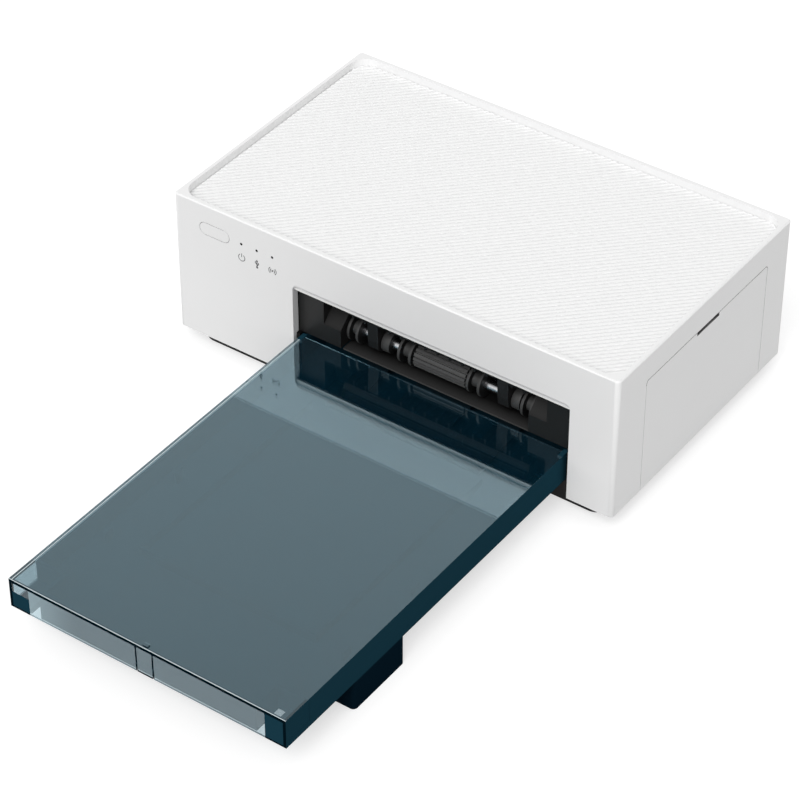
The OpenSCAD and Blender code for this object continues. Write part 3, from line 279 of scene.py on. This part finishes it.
def rubbed(name, flank, rubbed_face, roughness):
    """A black part that turns about X, worn lighter on its outer faces."""
    material, tree, output = new_material(name)
    place = add_node(tree, "ShaderNodeTexCoord")
    parts = add_node(tree, "ShaderNodeSeparateXYZ", {"Vector": place.outputs["Normal"]})
    sideways = add_node(tree, "ShaderNodeMath", {0: parts.outputs["X"]}, operation="ABSOLUTE")
    dust = add_node(tree, "ShaderNodeTexNoise", {"Vector": place.outputs["Object"]},
                    {"Scale": per_metre(3.0), "Detail": 4.0})
    wear = add_node(tree, "ShaderNodeMapRange", {"Value": sideways.outputs["Value"]},
                    {"From Min": WEAR_FULL, "From Max": WEAR_ENDS, "To Min": 1.0,
                     "To Max": 0.0})
    patchy = add_node(tree, "ShaderNodeMapRange", {"Value": dust.outputs["Fac"]},
                      {"To Min": 0.7, "To Max": 1.0})
    amount = add_node(tree, "ShaderNodeMath",
                      {0: wear.outputs["Result"], 1: patchy.outputs["Result"]},
                      operation="MULTIPLY")
    tint = add_node(tree, "ShaderNodeMix", {"Factor": amount.outputs["Value"]}, data_type="RGBA")
    tint.inputs["A"].default_value = linear(flank)
    tint.inputs["B"].default_value = linear(rubbed_face)
    bump = add_node(tree, "ShaderNodeBump", {"Height": dust.outputs["Fac"]},
                    {"Strength": 0.4, "Distance": 0.02 * MM})
    shader = add_node(tree, "ShaderNodeBsdfPrincipled",
                      {"Base Color": tint.outputs["Result"], "Normal": bump.outputs["Normal"]},
                      {"Roughness": roughness})
    tree.links.new(shader.outputs["BSDF"], output.inputs["Surface"])
    return material


disc_rubber = rubbed("black rubber, exit discs", "#060606", "#3E3E3E", 0.6)
roller_rubber = rubbed("EPDM rubber, fluted roller", "#101010", "#4E4E4E", 0.65)
print("rubbed finishes:", disc_rubber.name, "and", roller_rubber.name)

# %% [markdown]
# Shafts are turned and then ground. Grinding runs round the bar, so its fine lines
# are circles about X: noise that changes fast along X and slowly across it draws
# them. Ground lines are microns wide, so here they are drawn 0.3 mm wide to show.

# %% Ground steel and brass
def turned_metal(name, bright, dull, roughness, line_mm=0.3, length_mm=25.0, spread=0.06):
    """A metal turned about the X axis, with fine lines round it."""
    material, tree, output = new_material(name)
    place = add_node(tree, "ShaderNodeTexCoord")
    stretch = add_node(tree, "ShaderNodeMapping", {"Vector": place.outputs["Object"]},
                       {"Scale": (per_metre(line_mm), per_metre(length_mm),
                                  per_metre(length_mm))})
    lines = add_node(tree, "ShaderNodeTexNoise", {"Vector": stretch.outputs["Vector"]},
                     {"Scale": 1.0, "Detail": 2.0})
    tint = add_node(tree, "ShaderNodeMix", {"Factor": lines.outputs["Fac"]}, data_type="RGBA")
    tint.inputs["A"].default_value = linear(bright)
    tint.inputs["B"].default_value = linear(dull)
    gloss = add_node(tree, "ShaderNodeMapRange", {"Value": lines.outputs["Fac"]},
                     {"To Min": roughness - spread, "To Max": roughness + spread})
    shader = add_node(tree, "ShaderNodeBsdfPrincipled",
                      {"Base Color": tint.outputs["Result"], "Roughness": gloss.outputs["Result"]},
                      {"Metallic": 1.0})
    tree.links.new(shader.outputs["BSDF"], output.inputs["Surface"])
    return material


ground_steel = turned_metal("stainless steel, ground", "#D9D9DB", "#B9BABD", 0.22)
turned_brass = turned_metal("brass, turned pinion", "#D9BC74", "#BE9F58", 0.28)
bright_aluminium = turned_metal("aluminium, drawn and milled", "#DADCDE", "#C4C7CA", 0.34,
                                line_mm=0.5)
print("turned metals:", ground_steel.name, "/", turned_brass.name, "/", bright_aluminium.name)

# %% [markdown]
# The two side frames, their stays, the print head's arm and the motor cans are
# zinc-coated sheet steel. Hot zinc freezes in flat crystals a few millimetres wide,
# each of a slightly different grey. Voronoi cells are just such crystals.

# %% Zinc-coated sheet
zinc_sheet, tree, output = new_material("sheet steel, zinc coated")
place = add_node(tree, "ShaderNodeTexCoord")
crystals = add_node(tree, "ShaderNodeTexVoronoi", {"Vector": place.outputs["Object"]},
                    {"Scale": per_metre(4.0)})
grey = add_node(tree, "ShaderNodeSeparateColor", {"Color": crystals.outputs["Color"]})
tint = add_node(tree, "ShaderNodeMix", {"Factor": grey.outputs["Red"]}, data_type="RGBA")
tint.inputs["A"].default_value = linear("#9FA3A6")
tint.inputs["B"].default_value = linear("#B8BBBD")
gloss = add_node(tree, "ShaderNodeMapRange", {"Value": grey.outputs["Green"]},
                 {"To Min": 0.34, "To Max": 0.5})
shader = add_node(tree, "ShaderNodeBsdfPrincipled",
                  {"Base Color": tint.outputs["Result"], "Roughness": gloss.outputs["Result"]},
                  {"Metallic": 1.0})
tree.links.new(shader.outputs["BSDF"], output.inputs["Surface"])
print("zinc crystals are 4 mm wide")

# %% [markdown]
# The circuit boards are glass-fibre laminate under green solder resist. Copper
# tracks show through it as slightly paler lines. A brick pattern turned into thin
# lines is a fair stand-in for bundles of tracks at 1.3 mm pitch.

# %% Circuit board
circuit_board, tree, output = new_material("glass epoxy board, green resist")
place = add_node(tree, "ShaderNodeTexCoord")
turn = add_node(tree, "ShaderNodeMapping", {"Vector": place.outputs["Object"]},
                {"Rotation": (0.0, math.radians(90), 0.0)})
tracks = add_node(tree, "ShaderNodeTexBrick", {"Vector": turn.outputs["Vector"]},
                  {"Scale": per_metre(10.0), "Mortar Size": 0.016, "Brick Width": 0.9,
                   "Row Height": 0.13, "Color1": linear("#14503A"),
                   "Color2": linear("#175A40"), "Mortar": linear("#2E7A58")})
shader = add_node(tree, "ShaderNodeBsdfPrincipled", {"Base Color": tracks.outputs["Color"]},
                  {"Roughness": 0.35, "Coat Weight": 0.3})
tree.links.new(shader.outputs["BSDF"], output.inputs["Surface"])
print("board tracks run at a pitch of 1.3 mm")

# %% [markdown]
# Four small finishes remain inside: fired alumina on the print head's bar, the
# wax-coated ribbon, the cork pad that holds back the last sheet, and the resin of
# chips. Each takes the moulded recipe with its own colours, grain and gloss.

# %% Small inner finishes
alumina = moulded("alumina, fired and glazed", "#F2EFE8", "#E7E3DA", 0.2, grain_mm=0.4, ior=1.7)
dye_film = moulded("polyester film, dye coated", "#7A5A14", "#5E4610", 0.18, cloud_mm=8.0, ior=1.6)
cork_pad = moulded("cork, pressed sheet", "#B98F5E", "#8A6238", 0.85, grain_mm=1.0,
                   grain_um=60.0, cloud_mm=2.0)
chip_resin = moulded("epoxy resin, chip bodies", "#202123", "#191A1C", 0.55, grain_mm=0.5)
print("inner finishes:", alumina.name, "/", dye_film.name, "/", cork_pad.name)

# %% [markdown]
# The tray's lid is one moulding of smoke-tinted acrylic with a polished, half-mirrored
# skin. Its near wall shows how such a moulding is built, because one looks through it at
# the sheets behind. To finish each place rightly, the shader has to know where it is. So
# the first step measures: the distance from the middle line, the way a face looks, and
# the levels of the plate. The tab's grip stands 0.6 mm above the plate.

# %% Places on the lid
CORNER_MM, TAB_MM = 12.2, 10.0
lid_acrylic, tree, output = new_material("smoke-tinted acrylic, lid")
place = add_node(tree, "ShaderNodeTexCoord")
at = add_node(tree, "ShaderNodeSeparateXYZ", {"Vector": place.outputs["Object"]}).outputs
facing = add_node(tree, "ShaderNodeSeparateXYZ", {"Vector": place.outputs["Normal"]}).outputs
(lid_left, lid_right), (lid_near, _), (lid_foot, lid_top) = lid_spans
plate_top = lid_top - 0.6 * MM
from_middle = add_node(tree, "ShaderNodeMath", {0: at["X"]}, {1: (lid_left + lid_right) / 2},
                       operation="SUBTRACT").outputs["Value"]
sideways = add_node(tree, "ShaderNodeMath", {0: from_middle}, operation="ABSOLUTE").outputs["Value"]
half_width = (lid_right - lid_left) / 2
corner = half_width - CORNER_MM * MM
half_tab = TAB_MM / 2 * MM
near_wall = [(facing["Y"], -1.1, -0.6), (at["Y"], lid_near - MM, lid_near + 0.5 * MM)]
upper_face = [(facing["Z"], 0.7, 1.1)]
print("the lid's clear corners start", round(corner / MM, 1), "mm from its middle")

# %% [markdown]
# Light that runs along a tinted sheet is swallowed, so wherever a sheet stands behind
# the near wall one looks into its end, and it is painted black there as painted shade: the
# plate, the two side returns, both sides of the latch tab, and the feet of the corners and
# the tab. The left arris is painted as dark. The two corners are single walled and clear,
# so the tray's dark corner walls behind them are painted onto them in the tray's colour:
# over all of the right one and the lower part of the left one. The right side return lies
# flat on the tray's dark side wall and is painted in its colour. Two polished arrises of
# the plate are painted pale as highlights.

# %% Edges of the lid
wall_foot = (at["Z"], lid_foot - MM, lid_foot + 1.1 * MM)
# Painted shade: black on the ends of the sheets and on the left arris.
painted_dark_ends = region(
    tree,
    near_wall + [(at["Z"], plate_top - 1.9 * MM, plate_top - 0.2 * MM)],
    near_wall + [(sideways, half_width - 1.7 * MM, half_width + MM)],
    near_wall + [(sideways, half_tab - 0.5 * MM, half_tab + 0.5 * MM)],
    near_wall + [wall_foot, (sideways, corner, half_width + MM)],
    near_wall + [wall_foot, (sideways, -MM, half_tab)],
    [(facing["X"], -0.95, -0.25), (facing["Z"], 0.2, 0.97)])
# Painted image: the tray's dark walls seen through the clear corners and the right side return.
painted_tray_behind = region(
    tree,
    near_wall + [(from_middle, corner, half_width)],
    near_wall + [(from_middle, -half_width, -corner),
                 (at["Z"], lid_foot + 1.1 * MM, lid_foot + 10.2 * MM)],
    [(facing["X"], 0.6, 1.1), (at["X"], lid_right - 0.5 * MM, lid_right + MM)])
# Painted highlight: pale lines on two arrises of the plate.
painted_highlight_arris = region(
    tree,
    upper_face + [(at["Y"], lid_near - MM, lid_near + 0.4 * MM)],
    upper_face + [(at["X"], lid_left + 1.4 * MM, lid_left + 1.8 * MM)])
print("lid edges: dark sheet ends, tray seen behind, pale arrises")

# %% [markdown]
# The lid's upper face reflects about a quarter of the light with a blue-green cast, so
# the printer's white front and the dark slot stand in it upside down. The near wall
# mirrors only between its corners, where the tray's own wall stands close behind it and
# doubles the mirror. The photograph shows this fade from left to right, so it does here.

# %% Mirror of the lid
MIRROR_TOP, MIRROR_LEFT, MIRROR_RIGHT = 0.25, 0.28, 0.12
FADE_MM = 28.0
fade_start = lid_left + CORNER_MM * MM
doubled = add_node(tree, "ShaderNodeMapRange", {"Value": at["X"]},
                   {"From Min": fade_start, "From Max": fade_start + FADE_MM * MM,
                    "To Min": MIRROR_LEFT, "To Max": MIRROR_RIGHT})
wall_share = add_node(tree, "ShaderNodeMath",
                      {0: region(tree, near_wall + [(sideways, -MM, corner)]),
                       1: doubled.outputs["Result"]}, operation="MULTIPLY")
share = add_node(tree, "ShaderNodeMix",
                 {"Factor": region(tree, upper_face), "A": wall_share.outputs["Value"]},
                 data_type="FLOAT")
share.inputs["B"].default_value = MIRROR_TOP
print("the lid's top mirrors", MIRROR_TOP, "of the light, its near wall up to", MIRROR_LEFT)

# %% [markdown]
# The body is clear acrylic under that skin, polished with a slight unevenness from the
# flow of the resin. A thin blue haze on it, from dye and fine scratches, keeps the
# darkest parts of the mirror image from going black. Over these lie the three kinds of
# painted edge, and each covers the ones before it: the painted image of the tray behind,
# the black ends of the sheets painted as shade, and the arrises painted pale as highlights.

# %% Layers of the lid
HAZE_SHARE, MAX_ROUGHNESS = 0.02, 0.02
flow = add_node(tree, "ShaderNodeTexNoise", {"Vector": place.outputs["Object"]},
                {"Scale": per_metre(90.0), "Detail": 1.0})
gloss = add_node(tree, "ShaderNodeMapRange", {"Value": flow.outputs["Fac"]},
                 {"To Min": 0.0, "To Max": MAX_ROUGHNESS})
body = add_node(tree, "ShaderNodeBsdfPrincipled", {"Roughness": gloss.outputs["Result"]},
                {"Base Color": WHITE, "Transmission Weight": 1.0, "IOR": 1.49,
                 "Specular IOR Level": 0.1})
skin = add_node(tree, "ShaderNodeBsdfAnisotropic", {"Roughness": gloss.outputs["Result"]},
                {"Color": linear("#D3F1FB")})
mirrored = add_node(tree, "ShaderNodeMixShader", {0: share.outputs["Result"],
                    1: body.outputs["BSDF"], 2: skin.outputs["BSDF"]})
haze = add_node(tree, "ShaderNodeBsdfDiffuse", values={"Color": linear("#2F8FB8")})
layers = add_node(tree, "ShaderNodeMixShader", {1: mirrored.outputs["Shader"],
                  2: haze.outputs["BSDF"]}, {0: HAZE_SHARE})
# Each edge is a flat painted colour: the tray image and the dark ends as painted shade, the arrises
# as painted highlights.
for mask, colour in ((painted_tray_behind, "#193946"), (painted_dark_ends, "#04141C"), (painted_highlight_arris, "#D5E0E3")):
    edge = add_node(tree, "ShaderNodeBsdfDiffuse", values={"Color": linear(colour)})
    layers = add_node(tree, "ShaderNodeMixShader", {0: mask, 1: layers.outputs["Shader"],
                      2: edge.outputs["BSDF"]})
print("lid layers: body, mirror, haze and three kinds of edge")

# %% [markdown]
# The tint sits in the body of the sheet: light that crosses the plate is only dimmed.
# The dye's density follows from the colour that 2.5 mm of the sheet let through. Rays
# from a lamp and rays of diffuse light can't find their way through a refracting
# surface, so for them it is clear, and the dye still filters them. That way the tray
# inside is lit as it should be.

# %% Dye of the lid
THROUGH_HEX, THROUGH_MM = "#C6D6DC", 2.5
clear = add_node(tree, "ShaderNodeBsdfTransparent",
                 values={"Color": (*[1.0 - MIRROR_TOP] * 3, 1.0)})
path = add_node(tree, "ShaderNodeLightPath")
light_only = add_node(tree, "ShaderNodeMath", {0: path.outputs["Is Shadow Ray"],
                      1: path.outputs["Is Diffuse Ray"]}, operation="MAXIMUM")
surface = add_node(tree, "ShaderNodeMixShader", {0: light_only.outputs["Value"],
                   1: layers.outputs["Shader"], 2: clear.outputs["BSDF"]})
tree.links.new(surface.outputs["Shader"], output.inputs["Surface"])
losses = [-math.log(v) / (THROUGH_MM * MM) for v in linear(THROUGH_HEX)[:3]]
density = max(losses) * 1.02  # a little more than the largest loss: no share of colour is 0
dye = add_node(tree, "ShaderNodeVolumeAbsorption",
               values={"Color": (*[1 - loss / density for loss in losses], 1.0),
                       "Density": density})
tree.links.new(dye.outputs["Volume"], output.inputs["Volume"])
print(THROUGH_MM, "mm of the lid let through", [round(v, 2) for v in linear(THROUGH_HEX)[:3]])

# %% [markdown]
# The tray below it is moulded in the same colour from polystyrene, with far more dye.
# Light that enters it hardly comes out again: it reads as navy, nearly black. Its surface is
# satin, where the tool was left rough so that sheets slide, and it mirrors hardly
# anything. The thin walls are painted a lighter blue, a painted glow for the light that
# shines through them, and the thick feet below are darker.

# %% Smoke-coloured tray
feet_top = extent("tray_base", 2)[0] + 18.5 * MM
# Painted glow: the walls above the feet are a lighter blue for the light through them.
tray_smoke = graded("smoke polystyrene, deep dyed", "#193946", "#081A25", feet_top - MM,
                    feet_top, 0.5, specular=0.0)
lift_enamel = moulded("sheet steel, dark enamel", "#1C2C35", "#182830", 0.4, grain_um=2.0,
                      specular=0.15)
print("tray walls are #193946 above", round(feet_top / MM, 1), "mm")

# %% [markdown]
# Now each node gets its finish. The list is by finish, so that a reader sees at once
# which pieces are moulded from the same resin.

# %% Dress the nodes
finishes = {
    white_abs: ["outer_shell", "power_button"],
    door_abs: ["cartridge_door"],
    panel_abs: ["top_panel"],
    black_abs: ["base_plinth", "power_switch", "status_lamps", "tray_guide", "cartridge_case",
                "supply_spool", "takeup_spool", "rear_guide", "dc_inlet", "fan_frame", "fan_rotor"],
    charcoal_abs: ["slot_liner", "shaft_brackets"],
    ramp_abs: ["paper_ramp"],
    gear_pom: ["exit_gear", "capstan_gear", "capstan_idler", "pickup_idler", "exit_idler",
               "pickup_gear", "takeup_gear"],
    foot_rubber: ["rubber_feet", "platen_roller", "pickup_roller"],
    disc_rubber: ["exit_discs"],
    roller_rubber: ["exit_roller"],
    ground_steel: ["case_screws", "door_pins", "exit_shaft", "capstan", "pinch_roller",
                   "platen_shaft", "idler_studs", "pickup_shaft", "head_pin", "usb_port",
                   "lift_spring"],
    turned_brass: ["feed_pinion", "ribbon_pinion"],
    bright_aluminium: ["heatsink", "board_capacitors"],
    zinc_sheet: ["left_frame", "right_frame", "frame_stays", "feed_motor", "head_arm",
                 "ribbon_motor"],
    lift_enamel: ["lift_plate"],
    circuit_board: ["front_board", "main_board"],
    chip_resin: ["board_chips"],
    alumina: ["thermal_bar"],
    dye_film: ["ribbon_film"],
    cork_pad: ["friction_pad"],
    lid_acrylic: ["tray_lid"],
    tray_smoke: ["tray_base"],
}
for material, names in finishes.items():
    for name in names:
        nodes[name].data.materials.clear()
        nodes[name].data.materials.append(material)
dressed = {name for names in finishes.values() for name in names}
print("dressed", len(dressed), "nodes; without a finish:", sorted(set(nodes) - dressed))

# %% [markdown]
# No moulded edge is truly sharp: it has a small radius that catches a thin line of
# light, and an eye misses that line at once. The frame's vertices are split where
# faces meet, so a Weld joins them before a Bevel rounds the edges by 0.15 to 0.4 mm.

# %% Round the moulded edges
edge_radius_mm = {
    "outer_shell": 0.4, "cartridge_door": 0.35, "power_button": 0.3, "base_plinth": 0.4,
    "slot_liner": 0.25, "shaft_brackets": 0.3, "paper_ramp": 0.2, "exit_discs": 0.15,
    "tray_lid": 0.2, "tray_base": 0.2,
}
for name, radius in edge_radius_mm.items():
    weld = nodes[name].modifiers.new("join_faces", "WELD")
    weld.merge_threshold = 1e-6
    bevel = nodes[name].modifiers.new("soft_edge", "BEVEL")
    bevel.width = radius * MM
    bevel.segments = 2
    bevel.limit_method = "ANGLE"
    bevel.angle_limit = math.radians(40)
    bevel.use_clamp_overlap = True
print("rounded the edges of", len(edge_radius_mm), "nodes")

# %% [markdown]
# Three icons are printed under the lamps: power, the three-pronged bus sign and radio
# waves. Ink is a few microns thick, so each stroke is a flat ribbon that lies 0.03 mm
# in front of the shell. A stroke is a list of points; the helper gives it a width
# and joins it into faces, and it is used for lines and arcs alike.

# %% Icon strokes
FRONT_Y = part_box("outer_shell")[0][1]
INK = 0.03 * MM
ICON_Z_MM = 72.3


def ribbon(points, width):
    """Vertices and faces of a flat stroke along x, z points in millimetres."""
    rows = []
    for i, (x, z) in enumerate(points):
        ahead = points[min(i + 1, len(points) - 1)]
        behind = points[max(i - 1, 0)]
        along = Vector((ahead[0] - behind[0], ahead[1] - behind[1])).normalized()
        side = Vector((-along.y, along.x)) * width / 2
        rows += [(x + side.x, z + side.y), (x - side.x, z - side.y)]
    faces = [(2 * i, 2 * i + 1, 2 * i + 3, 2 * i + 2) for i in range(len(points) - 1)]
    return rows, faces


def arc(radius, start, end, steps=14, centre=(0.0, 0.0)):
    """Points of an arc, with angles in degrees from the X axis."""
    turn = [math.radians(start + (end - start) * i / steps) for i in range(steps + 1)]
    return [(centre[0] + radius * math.cos(a), centre[1] + radius * math.sin(a)) for a in turn]


def icon(name, centre, strokes):
    """One printed icon, its strokes in mm round its centre on the front of the shell."""
    vertices, faces = [], []
    for points, width in strokes:
        rows, quads = ribbon(points, width)
        start = len(vertices)
        vertices += [((centre[0] + x) / 1000, FRONT_Y - INK, (centre[1] + z) / 1000)
                     for x, z in rows]
        faces += [tuple(start + i for i in quad) for quad in quads]
    mesh = bpy.data.meshes.new(name)
    mesh.from_pydata(vertices, [], faces)
    piece = bpy.data.objects.new(name, mesh)
    bpy.context.scene.collection.objects.link(piece)
    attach(piece, "printer")
    return piece


power_icon = icon("power_icon", (-93.8, ICON_Z_MM), [
    (arc(2.1, 120, 420), 0.42), ([(0.0, 0.4), (0.0, 2.7)], 0.42)])
bus_icon = icon("bus_icon", (-83.7, ICON_Z_MM), [
    ([(0.0, -1.6), (0.0, 2.0)], 0.6), ([(-0.5, 1.7), (0.0, 2.6), (0.5, 1.7)], 0.55),
    ([(0.0, -0.9), (1.0, 0.2), (1.0, 1.2)], 0.6),
    ([(0.0, -0.3), (-1.0, 0.6), (-1.0, 1.5)], 0.6),
    (arc(0.35, 0, 360, centre=(0.0, -2.0)), 0.7)])
radio_icon = icon("radio_icon", (-73.6, ICON_Z_MM), [
    (arc(0.3, 0, 360), 0.6), (arc(1.4, -50, 50), 0.4), (arc(1.4, 130, 230), 0.4),
    (arc(2.4, -50, 50), 0.4), (arc(2.4, 130, 230), 0.4)])
print("icons stand", round(INK / MM, 2), "mm in front of the shell, at y =", round(FRONT_Y, 4))

# %% [markdown]
# Pad-printing ink is a dense grey enamel that dries slightly uneven, so its colour
# varies a little over a millimetre, and it is duller than the plastic around it.

# %% Printed ink
ink = moulded("grey enamel ink, pad printed", "#47494B", "#545658", 0.6, grain_mm=0.3,
              cloud_mm=1.0)
for piece in (power_icon, bus_icon, radio_icon):
    piece.data.materials.append(ink)
print("printed", ink.name)

# %% [markdown]
# The set is a product table: a pale floor that runs to the horizon. The photograph
# has a pure white ground. The floor here is a pale diffuse surface, so it keeps the
# object's shadow, and a little light of its own that only the eye, a mirror or clear
# plastic sees lifts it to white without lighting the object.

# %% Floor
REACH, FLOOR_GLOW = 6.0, 0.6
floor_mesh = bpy.data.meshes.new("studio_floor")
floor_mesh.from_pydata([(-REACH, -REACH, 0), (REACH, -REACH, 0), (REACH, REACH, 0),
                        (-REACH, REACH, 0)], [], [(0, 1, 2, 3)])
floor = bpy.data.objects.new("studio_floor", floor_mesh)
bpy.context.scene.collection.objects.link(floor)
floor_paper, tree, output = new_material("background paper, matt white")
path = add_node(tree, "ShaderNodeLightPath")
mirrored = add_node(tree, "ShaderNodeMath", {0: path.outputs["Is Camera Ray"],
                    1: path.outputs["Is Glossy Ray"]}, operation="MAXIMUM")
seen = add_node(tree, "ShaderNodeMath", {0: mirrored.outputs["Value"],
                1: path.outputs["Is Transmission Ray"]}, operation="MAXIMUM")
lift = add_node(tree, "ShaderNodeMath", {0: seen.outputs["Value"]}, {1: FLOOR_GLOW},
                operation="MULTIPLY")
glow = add_node(tree, "ShaderNodeEmission", {"Strength": lift.outputs["Value"]},
                {"Color": WHITE})
paper = add_node(tree, "ShaderNodeBsdfDiffuse", values={"Color": linear("#BEBEBE")})
both = add_node(tree, "ShaderNodeAddShader", {0: paper.outputs["BSDF"],
                1: glow.outputs["Emission"]})
tree.links.new(both.outputs["Shader"], output.inputs["Surface"])
floor_mesh.materials.append(floor_paper)
print("floor is a stage of", 2 * REACH, "m by", 2 * REACH, "m")

# %% [markdown]
# Light comes from two places. The sky dome is the even fill of a white studio. What a
# glossy surface mirrors is another matter: the studio has bright walls and a dark
# ceiling, and that is why the lid shows a pale mirror image of the printer's front
# but stays dark elsewhere. So glossy rays see a dome that darkens with height.

# %% Studio dome
FILL, CEILING = 0.6, 0.3
CEILING_STARTS, CEILING_FULL = 0.3, 0.75  # sines of the angle above the horizon
world = bpy.data.worlds.new("studio_dome")
bpy.context.scene.world = world
world.use_nodes = True
tree = world.node_tree
tree.nodes.clear()
path = add_node(tree, "ShaderNodeLightPath")
direction = add_node(tree, "ShaderNodeTexCoord")
height = add_node(tree, "ShaderNodeSeparateXYZ", {"Vector": direction.outputs["Generated"]})
mirror_level = add_node(tree, "ShaderNodeMapRange", {"Value": height.outputs["Z"]},
                        {"From Min": CEILING_STARTS, "From Max": CEILING_FULL, "To Min": 1.0,
                         "To Max": CEILING})
seen = add_node(tree, "ShaderNodeMath", {0: path.outputs["Is Camera Ray"],
                1: path.outputs["Is Transmission Ray"]}, operation="MAXIMUM")
fill_level = add_node(tree, "ShaderNodeMix", {"Factor": seen.outputs["Value"]}, data_type="FLOAT")
fill_level.inputs["A"].default_value = FILL
fill_level.inputs["B"].default_value = 1.0
level = add_node(tree, "ShaderNodeMix", {"Factor": path.outputs["Is Glossy Ray"],
                 "A": fill_level.outputs["Result"], "B": mirror_level.outputs["Result"]},
                 data_type="FLOAT")
dome = add_node(tree, "ShaderNodeBackground", {"Strength": level.outputs["Result"]},
                {"Color": WHITE})
add_node(tree, "ShaderNodeOutputWorld", {"Surface": dome.outputs["Background"]})
print("the dome fills at", FILL, "and is white to the eye")

# %% [markdown]
# The key light is one broad soft source, high in front of the printer and a little to
# its right. Its direction follows from the three faces that the photograph shows: the
# top is the brightest, the front comes next and the right side is the darkest.

# %% Key light
key_data = bpy.data.lights.new("softbox_key", "SUN")
key_data.energy = 1.75
key_data.angle = math.radians(40)  # as broad as a softbox close by
key = bpy.data.objects.new("softbox_key", key_data)
towards_light = Vector((0.16, -0.66, 0.745))
key.rotation_euler = towards_light.to_track_quat("Z", "Y").to_euler()
bpy.context.scene.collection.objects.link(key)
key_height = math.degrees(math.asin(towards_light.normalized().z))
print("key light stands", round(key_height), "degrees high")

# %% [markdown]
# Last come the view settings. Standard view shows each colour as it was written.

# %% Finish
bpy.context.scene.view_settings.view_transform = "Standard"
